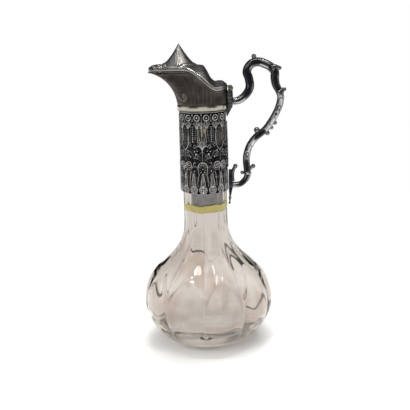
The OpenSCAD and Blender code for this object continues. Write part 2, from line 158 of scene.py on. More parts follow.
# %% A socket that can be added, multiplied and raised
class Term:
    """One output socket of a finish; each operator on it adds a Math node with its result."""

    def __init__(self, bench, socket):
        self.bench, self.socket = bench, socket

    def math(self, operation, *values):
        inputs = dict(enumerate(values))
        return self.bench.node("ShaderNodeMath", {"operation": operation, "use_clamp": False}, inputs)

    def __add__(self, other):
        return self.math("ADD", self, other)

    def __radd__(self, other):
        return self.math("ADD", other, self)

    def __sub__(self, other):
        return self.math("SUBTRACT", self, other)

    def __rsub__(self, other):
        return self.math("SUBTRACT", other, self)

    def __mul__(self, other):
        return self.math("MULTIPLY", self, other)

    def __rmul__(self, other):
        return self.math("MULTIPLY", other, self)

    def __truediv__(self, other):
        return self.math("DIVIDE", self, other)

    def __pow__(self, other):
        return self.math("POWER", self, other)

    def clipped(self):
        """The value held between 0 and 1."""
        return self.math("MINIMUM", self.math("MAXIMUM", self, 0.0), 1.0)


class Bench:
    """The node tree of one finish or of the world, with one method that adds any node."""

    def __init__(self, owner):
        owner.use_nodes = True
        self.owner, self.tree = owner, owner.node_tree
        self.tree.nodes.clear()

    def node(self, kind, settings=None, inputs=None, out=0):
        made = self.tree.nodes.new(kind)
        for key, value in (settings or {}).items():
            if key == "stops":
                ramp = made.color_ramp.elements
                while len(ramp) < len(value):
                    ramp.new(0.5)
                for stop, (place, colour) in zip(ramp, value):
                    stop.position, stop.color = place, (*colour, 1)
            else:
                setattr(made, key, value)
        for key, value in (inputs or {}).items():
            if isinstance(value, Term):
                self.tree.links.new(value.socket, made.inputs[key])
            else:
                made.inputs[key].default_value = value
        return Term(self, made.outputs[out]) if made.outputs else made

    def place(self):
        return self.node("ShaderNodeTexCoord", out="Object")

    def noise(self, scale, detail=4.0, rough=0.5, stretch=(1, 1, 1)):
        """Cloudy noise from 0 to 1; stretch squeezes it along an axis."""
        spot = self.node("ShaderNodeMapping", None, {"Vector": self.place(), "Scale": stretch})
        return self.node("ShaderNodeTexNoise", None,
                         {"Vector": spot, "Scale": scale, "Detail": detail, "Roughness": rough})

    def tint(self, share, low, high):
        """Colour between low and high by a share from 0 to 1."""
        low, high = [c if isinstance(c, Term) else (*c, 1) for c in (low, high)]
        return self.node("ShaderNodeMix", {"data_type": "RGBA"}, {0: share, 6: low, 7: high}, out=2)

    def rays(self):
        """Three terms, each 1 for a ray from the camera, from a reflection or through glass."""
        return [self.node("ShaderNodeLightPath", out=name)
                for name in ("Is Camera Ray", "Is Glossy Ray", "Is Transmission Ray")]

    def bump(self, height, strength, distance):
        return self.node("ShaderNodeBump", None,
                         {"Height": height, "Strength": strength, "Distance": distance})

    def finish(self, inputs):
        shader = self.node("ShaderNodeBsdfPrincipled", None, inputs)
        self.node("ShaderNodeOutputMaterial", None, {"Surface": shader})
        return self.owner


print("finish tools ready")

# %% [markdown]
# ## Finishes
# Silver plate that has been oxidised keeps a near-black film in its hollows, while hands and
# cloths rub the high edges bright. The meshes carry that as a value per point: 0 in a hollow,
# 1 on an edge. On the band, the handle and the lid's peak that value also holds painted
# highlights and painted shade. Each silver mixes its two tones by it, and noise makes the film
# patchy, the gloss uneven and the surface faintly pitted.

# %% Silver, from the film in its hollows to its worn edges and painted highlights
def silver(name, film, metal, film_gloss, metal_gloss, power=1.0, pits=0.25, bias=0.0,
           stain=(1.0, 0.95, 0.86)):
    """Metal whose colour and roughness go from film to metal as each point's value of worn tone and painted
    sheen, to a power, made patchy by noise.
    """
    bench = Bench(bpy.data.materials.new(name))
    wear = bench.node("ShaderNodeAttribute", {"attribute_name": "wear"}, out="Fac")
    cloud = bench.noise(160, 5.0, 0.6)
    grit = bench.noise(1400, 3.0, 0.6)
    share = (wear + (cloud - 0.5) * 0.5 + (grit - 0.5) * 0.16 + bias).clipped() ** power
    warm = bench.tint(bench.noise(55, 2.0), metal, [c * f for c, f in zip(metal, stain)])
    return bench.finish({
        "Base Color": bench.tint(share, film, warm),
        "Metallic": 1.0,
        "Roughness": (film_gloss + share * (metal_gloss - film_gloss) + (grit - 0.5) * 0.1).clipped(),
        "Normal": bench.bump(cloud * 0.6 + grit * 0.4, pits, 0.0003)})


cast_silver = silver("cast_silver", (0.005, 0.005, 0.006), (0.95, 0.95, 0.97), 0.40, 0.20, 1.8)
handle_silver = silver("handle_silver", (0.012, 0.013, 0.016), (0.72, 0.73, 0.76), 0.30, 0.22, 1.6)
worked_silver = silver("worked_silver", (0.025, 0.024, 0.025), (0.86, 0.85, 0.84), 0.44, 0.26, 1.7)
cup_silver = silver("cup_silver", (0.007, 0.006, 0.005), (0.30, 0.265, 0.24), 0.38, 0.26, 1.6)
polished_silver = silver("polished_silver", (0.10, 0.09, 0.065), (0.62, 0.60, 0.54), 0.32, 0.14, 1.3, 0.08)
liner_silver = silver("liner_silver", (0.10, 0.11, 0.14), (0.97, 0.97, 0.98), 0.34, 0.10, 1.0,
                      0.02, 0.0, (0.96, 0.97, 1.0))
print("silvers", [m.name for m in bpy.data.materials if "silver" in m.name])

# %% Glass, seal and cement
def clear_glass():
    """Mould-blown glass: rosy patches in the bulb, painted in for the warm surroundings seen through
    it, slow waves in its surface, and a tint where it is thick."""
    bench = Bench(bpy.data.materials.new("clear_glass"))
    waves = bench.noise(34, 2.0, 0.45, (1, 1, 0.4))
    height = bench.node("ShaderNodeSeparateXYZ", None, {0: bench.place()}, out="Z")
    in_bulb = ((0.125 - height) * 30.0).clipped()
    # Painted reflection: rosy patches in the bulb that stand in for the warm surroundings seen through the
    # glass.
    painted_warm_patch = ((bench.noise(30, 3.0, 0.5, (1, 1, 0.6)) - 0.5) * 6.0).clipped() * in_bulb
    tone = bench.tint(painted_warm_patch, (0.875, 0.84, 0.805), (0.72, 0.635, 0.58))
    shader = bench.node("ShaderNodeBsdfPrincipled", None, {
        "Base Color": tone, "Roughness": 0.0, "IOR": 1.5, "Transmission Weight": 1.0,
        "Normal": bench.bump(waves, 0.3, 0.001)})
    depth = bench.node("ShaderNodeVolumeAbsorption", None,
                       {"Color": (0.80, 0.78, 0.72, 1), "Density": 15.0})
    bench.node("ShaderNodeOutputMaterial", None, {"Surface": shader, "Volume": depth})
    return bench.owner


def seal_rubber():
    """Soft yellow sealing ring, dusty and slightly darker in patches."""
    bench = Bench(bpy.data.materials.new("seal_rubber"))
    cloud = bench.noise(180, 4.0)
    return bench.finish({"Base Color": bench.tint(cloud, (0.98, 0.84, 0.16), (1.0, 0.93, 0.40)),
                         "Roughness": 0.5 + cloud * 0.2, "Normal": bench.bump(cloud, 0.2, 0.0004)})


def lip_plaster():
    """Chalky cement that beds the band on the glass lip."""
    bench = Bench(bpy.data.materials.new("lip_plaster"))
    grain = bench.noise(900, 6.0, 0.7)
    return bench.finish({"Base Color": bench.tint(grain, (0.55, 0.50, 0.42), (0.84, 0.81, 0.74)),
                         "Roughness": 0.8 + grain * 0.15, "Normal": bench.bump(grain, 0.5, 0.0005)})


glass, rubber, plaster = clear_glass(), seal_rubber(), lip_plaster()
print("finishes", len(bpy.data.materials))

# %% [markdown]
# ## The glass bottle
# The bottle is blown into a ribbed mould, so its outside has ten soft lobes with sharp
# grooves between them and its bore is plain. Glass needs both walls, because light bends at
# each of them, so one closed profile runs from the underside up the outside, over the lip
# and down the inside to the floor of the bulb.

# %% Profile of the bottle and its lobes
LIP_Z, NECK_Z, NECK_R, LIP_R = 236.5, 128.0, 22.2, 21.0
BELLY_Z, BELLY_R, FOOT_R = 45.0, 66.0, 33.0
TURN, LOBES, GLASS_WALL, FLOOR_Z, HOLLOW_Z = -4.0, 10, 2.7, 9.0, 0.9


def shoulder(t, wall=0.0):
    """Line of the shoulder from the belly to the neck, moved inwards by a wall thickness."""
    drop = NECK_Z - BELLY_Z
    return np.stack([bend(BELLY_R - wall, BELLY_R - wall, NECK_R - wall, NECK_R - wall, t),
                     bend(BELLY_Z, BELLY_Z + 0.48 * drop, NECK_Z - 0.52 * drop, NECK_Z, t)], -1)


def run(*lines):
    """Several lines of (radius, height) one after the other."""
    return np.concatenate([np.asarray(line, float) for line in lines])


t = np.linspace(0, 1, 72)
bore_r = BELLY_R - GLASS_WALL
belly = np.stack([bend(FOOT_R, FOOT_R, BELLY_R, BELLY_R, t), bend(0.3, 1.0, 11.25, BELLY_Z, t)], -1)
inside = np.stack([bend(0.0, 39.0, bore_r, bore_r, t), bend(FLOOR_Z, 8.0, 18.9, BELLY_Z, t)], -1)
neck = np.linspace([NECK_R, NECK_Z], [LIP_R, LIP_Z - 0.8], 26)
hollow = np.stack([np.linspace(2, 29, 8), HOLLOW_Z - HOLLOW_Z * ease(np.linspace(0, 1, 8))], -1)
outer = run(hollow, [[31.5, 0.0], [32.6, 0.1]], belly, shoulder(t[1:]), neck[1:])
lip = [[20.8, 236.3], [20.3, 236.5], [19.2, 236.5], [18.5, 236.3], [18.3, 235.8]]
inner = run([[18.9, 150.0]], shoulder(t[::-1], GLASS_WALL), inside[::-1][1:-1])
print("rows outside", len(outer), "inside", len(inner))

# %% Lobed bottle as one closed sheet
def lobe_depth(phi, z):
    """How far the outside lies in from the round body: a groove 2 mm deep where a lobe's sine
    is 0, which fades at the foot, neck and lip, and a 1 mm step that starts under a pointed
    arch at the top of each lobe."""
    across = np.abs(np.sin(np.radians((phi - TURN) * LOBES / 2)))
    strength = ease((z - 5) / 22.5) * between(1, 0.5, ease((z - BELLY_Z) / 83))
    at_lip = ease((LIP_Z - z) / 108.5 * 1.4)
    arch = ease((z - 58 - 20 * across ** 1.5) / 4) * ease((125 - z) / 40)
    return 2.0 * strength * at_lip * (1 - across) ** 2.4 + arch


def bottle(cols=320):
    """Every profile point turned round the axis, with the outside drawn in at the grooves."""
    profile = run(outer, lip, inner)
    phi = np.arange(cols) * 360 / cols
    r, z = profile[:, :1], profile[:, 1:]
    grooved = (np.arange(len(profile)) < len(outer))[:, None] & ((r > 32.9) | (z > 60))
    r = r - np.where(grooved, lobe_depth(phi, z), 0)
    a = np.radians(phi - 90)
    sheet = np.stack([r * np.cos(a), r * np.sin(a), np.broadcast_to(z, r.shape)], -1).reshape(-1, 3)
    points = np.concatenate([sheet, [[0, 0, HOLLOW_Z], [0, 0, FLOOR_Z]]])
    return points, [grid_faces(len(profile), cols), *end_fans(len(sheet), cols)], 0.0


make_piece("bottle", bottle(), "jug", "clear_glass", glass, "glass_body")

# %% [markdown]
# ## Turned rings
# The polished band, the liner tube and the sealing ring are all turned parts. A lathe makes
# them from one closed outline, and so does this: the outline is carried round the axis.

# %% Lathe work
def lathe(outline, cols=192, wear=1.0, centre=(0, 0, 0), axis=(0, 0, 1), solid=False):
    """An outline of (radius, height), listed anticlockwise, carried once round an axis; a
    solid one is open, has one value of worn tone and sheen throughout and gets a hub at both ends."""
    outline, centre, axis = (np.asarray(v, float) for v in (outline, centre, axis))
    axis = axis / np.linalg.norm(axis)
    side = np.cross((0, 1, 0) if abs(axis[1]) < 0.9 else (1, 0, 0), axis)
    side = side / np.linalg.norm(side)
    a = np.arange(cols) * 2 * np.pi / cols
    spoke = np.cos(a)[:, None] * side + np.sin(a)[:, None] * np.cross(axis, side)
    points = centre + outline[:, :1, None] * spoke + outline[:, 1:, None] * axis
    if solid:
        return tube(points, wear, wear)
    worn = np.repeat(np.broadcast_to(wear, len(outline)), cols)
    return points.reshape(-1, 3), [grid_faces(len(outline), cols, round_rows=True)], worn


def rounded(r0, r1, z0, z1, corner, steps=6, outer_bulge=0.0):
    """Outline of a ring's section with rounded corners, and a belly that swells its outer side."""
    a = np.radians(np.linspace(0, 90, steps))
    turns = [(r1 - corner, z0 + corner, -90), (r1 - corner, z1 - corner, 0),
             (r0 + corner, z1 - corner, 90), (r0 + corner, z0 + corner, 180)]
    line = np.concatenate([np.stack([r + corner * np.cos(a + np.radians(s)),
                                     z + corner * np.sin(a + np.radians(s))], -1)
                           for r, z, s in turns])
    side = np.linspace(z0 + corner, z1 - corner, 12)[1:-1]
    middle = (side - side.mean()) / (z1 - z0) * 2
    swell = np.stack([r1 + outer_bulge * (1 - middle ** 2), side], -1)
    return np.concatenate([line[:steps], swell, line[steps:]])


BAND_Z, BAND_TOP, LINER_R, LINER_IN, CAP_TOP = 237, 243, 17.4, 15.9, 244.2
# Painted highlight along the middle of the band's outer face, and painted shade at its corners.
corner_shade, rows_on_side = 0.1, np.arange(10)
band_middle_highlight = np.concatenate([np.full(6, corner_shade), 0.25 + 0.6 * hump(rows_on_side, 4.5, 5.5),
                         np.full(18, corner_shade)])
band = lathe(rounded(21.3, 24.35, BAND_Z, BAND_TOP, 0.9, outer_bulge=0.4), 256, band_middle_highlight)
make_piece("polished_band", band, "jug", "bright_silver", polished_silver, "neck_band")

# %% Liner tube with its flange, dull where the sleeve ends and bright above
liner_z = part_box("neck_liner")[0][2] * 1000
liner = [[LINER_IN, liner_z + 0.2], [16.2, liner_z], [17.1, liner_z], [LINER_R, liner_z + 0.3],
         [LINER_R, 156], [LINER_R, 162], [LINER_R, BAND_TOP], [22.5, BAND_TOP], [22.7, 243.3],
         [22.7, 244], [22.5, CAP_TOP], [16.3, CAP_TOP], [LINER_IN, 243.8], [LINER_IN, 200]]
make_piece("liner_tube", lathe(liner, 160, [0.2] * 5 + [1.2] * 9), "jug", "plain_silver",
           liner_silver, "neck_liner")

# %% Sealing ring, ribbed and a little crumpled
seal_low, seal_high = [corner[2] * 1000 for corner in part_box("seal_ring")]
ribs = np.linspace(seal_low + 0.2, seal_high - 0.2, 36)
ring_side = np.stack([19.1 + 0.18 * np.abs(np.sin((ribs - seal_low) * np.pi / 2)), ribs], -1)
seal = run([[17.6, seal_low], [18.9, seal_low]], ring_side,
           [[18.9, seal_high], [17.6, seal_high], [17.4, seal_high - 0.3], [17.4, seal_low + 0.3]])
crumpled = lathe(seal, 160, 0.5)
around = np.arctan2(crumpled[0][:, 1], crumpled[0][:, 0])
crumpled[0][:, 2] += 0.5 * np.sin(5 * around + 1.2) + 0.25 * np.sin(11 * around)
make_piece("seal_band", crumpled, "jug", "seal", rubber, "seal_ring")

# %% [markdown]
# ## The pierced sleeve
# The sleeve round the neck is cast in quarters from one pattern: rings along the top, slits,
# sprays of leaves, arches between two scrolls, and a hem of shells. It could be sculpted, but
# it repeats, so it is drawn once on a strip one eighth of a turn wide and mirrored. Each
# wire of the pattern is a line with a width, and a point's height is that of the nearest wire.

# %% Lines of the sleeve's pattern, u along the arc and v up from the hem
FAR_U = 18.85  # where the strip is mirrored, an eighth of a turn from its start
HEM_STEPS = (0.0, 4.71, 9.42, 14.13, FAR_U)


def arc(u, v, r, start, end, n=22):
    """Points on a circle's arc from a start to an end angle in degrees."""
    a = np.radians(np.linspace(start, end, n))
    return np.stack([u + r * np.cos(a), v + r * np.sin(a)], -1)


def scroll(u, v, r0, r1, start, end, n=40):
    """Points on a spiral whose radius goes evenly from r0 to r1 between two angles."""
    a, r = np.radians(np.linspace(start, end, n)), np.linspace(r0, r1, n)
    return np.stack([u + r * np.cos(a), v + r * np.sin(a)], -1)


def oval(u, v, half_u, half_v, n=40):
    """Points on an upright oval."""
    a = np.linspace(0, 2 * np.pi, n)
    return np.stack([u + half_u * np.cos(a), v + half_v * np.sin(a)], -1)


def stem(*corners, n=12):
    """Smooth line through four control points."""
    a, b, c, d = (np.asarray(p, float) for p in corners)
    return bend(a, b, c, d, np.linspace(0, 1, n)[:, None])


def nearness(path, half_a, half_b, u, v):
    """Distance to a line as a share of its half width, which goes from half_a to half_b."""
    a, d = path[:-1], np.diff(path, axis=0)
    pu, pv = u[:, None] - a[:, 0], v[:, None] - a[:, 1]
    along = np.clip((pu * d[:, 0] + pv * d[:, 1]) / np.maximum((d ** 2).sum(1), 1e-9), 0, 1)
    gap = np.hypot(pu - along * d[:, 0], pv - along * d[:, 1])
    half = between(half_a, half_b, (np.arange(len(d)) + along) / len(d))
    return (gap / half).min(1)


beads = [(4.71, 73.4, 1.0), (14.13, 73.4, 1.0), (9.42, 76.2, 0.8), (0, 76.4, 0.8), (FAR_U, 76.4, 0.8),
         (9.42, 70.6, 0.7), (6.2, 39.2, 1.1), (7.9, 41.6, 0.8), (4.9, 42.0, 0.7), (0, 24.6, 0.9),
         (1.9, 21.6, 0.75), (0, 19.9, 0.75), (3.4, 19.2, 0.6), (12.2, 36.6, 0.9), (15.4, 42.4, 0.8),
         (14.4, 28.0, 1.0), (8.2, 22.6, 0.8), (7.4, 30.6, 0.7), (8.4, 35.2, 0.7), (12.9, 16.8, 0.7)]
beads += [(9.42, 51.0 + 2.0 * k, 0.85 - 0.03 * k) for k in range(8)]
wires = [
    # Rings and the buds between them
    (arc(4.71, 73.4, 2.7, 0, 360), 0.62, 0.62, 1.0), (arc(14.13, 73.4, 2.7, 0, 360), 0.62, 0.62, 1.0),
    *[(stem((c, high), (c, 74), (c, 72), (c, low)), 0.4, 0.8, 0.8)
      for c, high, low in ((9.42, 75.6, 71), (0, 76, 69.5), (FAR_U, 76, 69.5))],
    # Leaves that rise to each ring
    *[(stem((c, 63.0), (c + 0.4 * s, 65), (c + s * w * 0.8, 66), (c + s * w, h)), 0.35, 0.62, 0.9)
      for c in (4.71, 14.13)
      for s, w, h in ((-1, 3.4, 68.6), (1, 3.4, 68.6), (-1, 1.8, 69.6), (1, 1.8, 69.6), (1, 0, 69.8))],
    # Bars beside the slits, and the lattice below them
    (stem((0, 69), (0, 64), (0, 58), (0, 50)), 0.62, 0.5, 0.95),
    (stem((3.7, 66.5), (3.3, 62), (3.5, 58), (4.6, 50)), 0.6, 0.5, 0.9),
    (stem((6.4, 66), (5.2, 61), (5.6, 57), (7.2, 51)), 0.5, 0.4, 0.8),
    (stem((7.6, 67), (7.0, 62), (7.4, 57), (8.0, 50)), 0.35, 0.3, 0.6),
    # Tall ovals
    (oval(FAR_U, 55.5, 4.9, 12.4), 0.55, 0.55, 0.95),
    (oval(FAR_U, 55.2, 2.9, 8.2), 0.45, 0.45, 0.75),
    (stem((FAR_U, 60), (FAR_U, 57), (FAR_U, 54), (FAR_U, 50)), 0.45, 0.35, 0.7),
    (scroll(12.3, 66.0, 1.7, 0.4, 200, 620, 24), 0.4, 0.3, 0.8),
    (stem((12.0, 64.4), (10.6, 60), (12.6, 56), (11.6, 50)), 0.45, 0.35, 0.8),
    (scroll(12.2, 48.0, 2.2, 0.5, 100, -320, 26), 0.5, 0.35, 0.9),
    # Spray of leaves
    *[(stem((0, 42.8), (e * 0.3, 46), (e * 0.8, 48), (e, h)), 0.3, 0.62, 0.95)
      for e, h in ((0.0, 51.6), (1.6, 51.0), (3.1, 49.9), (4.4, 48.2), (5.2, 46.0))],
    (stem((0, 43), (0, 40), (0, 37), (0, 32.5)), 0.75, 0.4, 0.9),
    (stem((0.4, 41), (2.6, 41.5), (3.6, 38), (2.0, 35)), 0.5, 0.35, 0.8),
    (scroll(7.0, 46.6, 2.0, 0.4, 250, 690, 26), 0.5, 0.3, 0.9),
    # Curls round the middle beads
    (scroll(5.6, 36.2, 2.3, 0.6, 160, -250, 26), 0.5, 0.35, 0.9),
    (stem((2.4, 33.2), (4, 35), (8, 34), (10.2, 38.8)), 0.4, 0.5, 0.8),
    (stem((10.2, 38.8), (11.2, 42), (14, 43), (16.6, 40.2)), 0.5, 0.4, 0.9),
    (scroll(15.6, 38.2, 2.4, 0.5, 60, 460, 26), 0.5, 0.3, 0.9),
    (stem((FAR_U, 44), (FAR_U, 41), (FAR_U, 38), (FAR_U, 33)), 0.6, 0.35, 0.85),
    # Arch of stacked arcs
    (arc(0, 26.2, 4.6, 0, 180, 26), 0.6, 0.6, 1.0), (arc(0, 25.8, 3.2, 0, 180, 20), 0.45, 0.45, 0.9),
    (arc(0, 25.4, 2.0, 0, 180, 16), 0.4, 0.4, 0.8),
    (stem((4.6, 26.2), (4.7, 23), (3.6, 20), (4.4, 17)), 0.6, 0.4, 0.9),
    (arc(2.4, 22.8, 1.2, 20, 300, 16), 0.35, 0.35, 0.8),
    # Great scrolls at the panel joints, and their stems
    (scroll(14.4, 28.0, 4.1, 1.3, -60, 560, 60), 0.62, 0.42, 1.0),
    (stem((16.5, 24.4), (13, 22), (9.5, 25), (8.6, 31.6)), 0.55, 0.4, 0.9),
    (stem((16.5, 24.4), (18.4, 21), (17.6, 17), (FAR_U, 13)), 0.55, 0.4, 0.9),
    (scroll(6.9, 26.6, 1.5, 0.4, 0, 420, 20), 0.42, 0.3, 0.85),
    # Leaves between the arch and the hem
    (stem((4.4, 17), (5.2, 13), (6.2, 10), (4.7, 7.2)), 0.5, 0.4, 0.9),
    (stem((12.2, 22.4), (13.6, 18), (13.4, 12), (14.1, 7.2)), 0.55, 0.4, 0.9),
    (stem((12.2, 22.4), (9.6, 21.6), (6.4, 19), (6.9, 14.6)), 0.45, 0.35, 0.85),
    (scroll(15.7, 16.6, 1.5, 0.4, 90, -300, 20), 0.42, 0.3, 0.85),
    # Borders
    (stem((-1, 78.3), (6, 78.3), (13, 78.3), (20, 78.3)), 0.75, 0.75, 0.9),
]
GOLDEN = 137.5
wires += [
    # Tendrils that fill the ground, each turned by the golden angle from its neighbour
    (scroll(1.5 + 3.16 * i + 0.5 * (j % 2), 8.6 + 3.1 * j, 1.45, 0.35,
            GOLDEN * (i + 7 * j), GOLDEN * (i + 7 * j) + (-1) ** (i + j) * 380, 16), 0.36, 0.26, 0.7)
    for i in range(6) for j in range(22)]
print("wires", len(wires), "beads", len(beads))

# %% Windows, hem and height of the sleeve's pattern
SLEEVE_Z, SLEEVE_H, SLEEVE_R, SLEEVE_TOP_R, ARC_R = 158, 79, 24.3, 23.2, 24
SLITS = [(2.1, 58.0, 64.8, 1.4), (2.8, 51.6, 53.8, 0.9), (16.9, 50.0, 60.0, 0.8)]
SHELLS, SHELL_V, HEM_V, DROP_LOW, DROP_HIGH = (0.0, 9.42, FAR_U), 4.3, 4.4, 9.5, 19.5


def slit_gap(u, v, slit):
    """Distance outside a round-ended slit given by its place, its two ends and its half width."""
    c, low, high, r = slit
    return np.hypot(u - c, v - np.clip(v, low, high)) - r


def drop_gap(u, v, c):
    """Distance outside the drop above a shell, whose half width shrinks from 1.55 mm to 0."""
    taper = np.clip((v - DROP_LOW) / 10, 0, 1)
    return np.hypot(u - c, v - np.clip(v, DROP_LOW, DROP_HIGH)) - 1.55 * (1 - taper)


def metal_left(u, v, whole):
    """Distance from the nearest window or the scalloped hem, above 0 in the metal; where whole
    is true the windows stay closed."""
    gaps = [slit_gap(u, v, slit) for slit in SLITS] + [drop_gap(u, v, c) for c in SHELLS]
    windows = np.where(whole, 9.0, np.min(gaps, axis=0))
    hem = HEM_V - np.min([np.hypot(u - c, np.minimum(v - HEM_V, 0)) for c in HEM_STEPS], axis=0)
    return np.minimum(windows, np.where(v < HEM_V, hem, 9.0))


def relief(u, v):
    """Height from 0 in the ground to 1 on the boldest wires: the highest of all wires, beads,
    shells and window edges at each point."""
    top = np.zeros(len(u))
    for path, half_a, half_b, high in wires:
        near = np.abs(v - path[:, 1].mean()) < np.ptp(path[:, 1]) / 2 + 1.2
        share = nearness(path, 0.7 * half_a, 0.7 * half_b, u[near], v[near])
        top[near] = np.maximum(top[near], high * np.sqrt(np.clip(1 - share ** 2, 0, 1)))
    for c, h, r in beads:
        top = np.maximum(top, np.sqrt(np.clip(1 - ((u - c) ** 2 + (v - h) ** 2) / r ** 2, 0, 1)))
    for c in SHELLS:
        far, angle = np.hypot(u - c, v - SHELL_V), np.arctan2(v - SHELL_V, u - c)
        fan = (0.2 + 0.75 * np.abs(np.cos(angle * 4.5))) * (far < 3.7) * ease((3.9 - far) / 0.8)
        top = np.maximum(top, np.maximum(fan * (far > 1.2), hump(far, 0.0, 1.15) * 0.95))
        top = np.maximum(top, 0.9 * hump(far, 3.75, 0.45))
        top = np.maximum(top, 0.9 * hump(drop_gap(u, v, c), 0.5, 0.5))
    for slit in SLITS:
        top = np.maximum(top, 0.7 * hump(slit_gap(u, v, slit), 0.4, 0.5))
    ground = 0.12 * np.sin(u * 3.1 + 1.3 * np.sin(v * 0.9)) * np.sin(v * 2.3 + np.sin(u * 1.7))
    return np.maximum(top, 0.14 + ground)


print("height on a ring", relief(np.array([7.4]), np.array([73.4])))

# %% Sleeve quarters with real windows
SLEEVE_WALL = 1.5


def arc_place(psi):
    """Place along the mirrored strip at an angle in degrees."""
    return np.radians(45 - np.abs(psi % 90 - 45)) * ARC_R


def sleeve_quarter(first, cols=106, rows=222):
    """A quarter turn of the sleeve: a grid snapped to the window edges, cut there, and given
    its inner wall. A point near an edge moves by its distance from it, over the slope of that
    distance, along the slope."""
    psi, v = np.meshgrid(np.linspace(first, first + 90, cols), np.linspace(0, SLEEVE_H, rows))
    step, cell = SLEEVE_H / (rows - 1), np.radians(90 / (cols - 1)) * ARC_R
    behind_plate = np.abs((psi - 90 + 180) % 360 - 180) < 22.4
    behind_strap = np.abs((psi + TURN + 180) % 360 - 180 - 90) < 12
    left = metal_left(arc_place(psi), v, np.where(v > 30, behind_plate, behind_strap))
    dv, dp = np.gradient(left, step, cell)
    size = np.maximum(np.hypot(dv, dp), 1e-6)
    near = np.abs(left) < 0.52 * cell
    free = np.zeros_like(near)
    free[1:-1, 1:-1] = True
    shift = np.where(near, -left / size, 0)
    psi = (psi + np.degrees(np.where(free, shift * dp / size, 0) / ARC_R)).ravel()
    moved_v = v + np.where(free | (v == 0), shift * dv / size, 0)
    v = np.clip(moved_v.ravel(), 0, SLEEVE_H)
    left = np.where(near, 0, left).ravel()
    a, b, c, d = grid_faces(rows, cols, round_cols=False).T
    turned = left[a] * left[c] < 0
    faces = np.concatenate([np.stack([a, b, np.where(turned, d, c)], -1),
                            np.stack([np.where(turned, b, a), c, d], -1)])
    faces = faces[left[faces].sum(1) > 1e-9]
    edges = np.concatenate([faces[:, [0, 1]], faces[:, [1, 2]], faces[:, [2, 0]]])
    n = rows * cols
    rim = edges[~np.isin(edges[:, 0] * n + edges[:, 1], edges[:, 1] * n + edges[:, 0])]
    in_seat = hump((psi + TURN + 180) % 360 - 180, 90, 22) > 0
    plain = in_seat & (ease((v - 20) / 3) * ease((70 - v) / 3) < 1)
    height = relief(arc_place(psi), v) * (1 - plain)
    base = between(SLEEVE_R, SLEEVE_TOP_R, v / SLEEVE_H)
    angle = np.radians(psi + TURN - 90)
    points = np.concatenate([np.stack([r * np.cos(angle), r * np.sin(angle), v + SLEEVE_Z], -1)
                             for r in (base - 0.80 + 1.10 * height, base - SLEEVE_WALL)])
    faces = np.concatenate([faces, faces[:, ::-1] + n])
    walls = np.stack([rim[:, 1], rim[:, 0], rim[:, 0] + n, rim[:, 1] + n], -1)
    used, number = np.unique(np.concatenate([faces.ravel(), walls.ravel()]), return_inverse=True)
    faces, walls = number[:faces.size].reshape(-1, 3), number[faces.size:].reshape(-1, 4)
    wear = np.concatenate([height ** 2.8, np.ones(n)])
    return points[used], [faces, walls], wear[used]


for k in range(4):
    make_piece("sleeve_quarter_%d" % (k + 1), sleeve_quarter(-50 + 90 * k), "jug", "dark_silver",
               cast_silver, "collar_sleeve")

# %% [markdown]
# ## The spout cup
# The cup above the band is one cast wall that grows from a circle into a long beak. It is a
# loft: every point of the foot circle runs up its own curve to a point of the rim. Fine
# flutes follow those same curves, so they fan out towards the beak as on the casting. A
# rolled bead finishes the rim and stops where the hinge sits.

# %% Rim of the cup, seen from above and from the side
RIM_R, REACH = 24.4, 50.7


def rim_half(x):
    """Half the rim's width: a half circle behind the axis, and in front a flank that eases in
    to a rounded tip."""
    u = -x / REACH
    tip = np.clip((u - 0.86) / 0.14, 0, 1)
    beak = between(RIM_R, 5.5, ease(u / 0.86)) * np.sqrt(1 - tip ** 2)
    return np.where(x >= 0, np.sqrt(np.clip(RIM_R ** 2 - x ** 2, 0, None)), beak)


def rim_height(x):
    """Height of the rim: level along the beak, an eased dip over the axis, and a rise to the hinge."""
    rise = 2.3 * (np.clip(x / RIM_R - 0.55, 0, None) / 0.42) ** 2
    return 274.4 - 19.4 * ease((x + 15.86) / 31.72) + rise


def rim_x(a):
    """Station along the rim at an angle in degrees: the hinge at 0, the tip of the beak at 180."""
    c = np.cos(np.radians(a))
    return c * np.where(c >= 0, RIM_R, REACH)


print("beak rim at", float(rim_height(-REACH)), "dip at", float(rim_height(12.0)))

# %% Cup wall with its flutes and bead
CUP_WALL, FLUTES = 1.6, 120


def engraved_curl(a, t):
    """Height from 0 to 1 of a scroll and its stem, low on each flank of the cup."""
    u = RIM_R * np.radians(180 - np.abs(a - 180) - 128)
    v = np.full(len(a), t * 26.0)
    lines = ((scroll(0.0, 5.6, 2.6, 0.8, -90, 400), 0.62),
             (stem((0.2, 3.0), (5, 2.4), (9, 4), (12, 8)), 0.6))
    return np.max([hump(nearness(line, 1, 1, u, v), 0, half) for line, half in lines], axis=0)


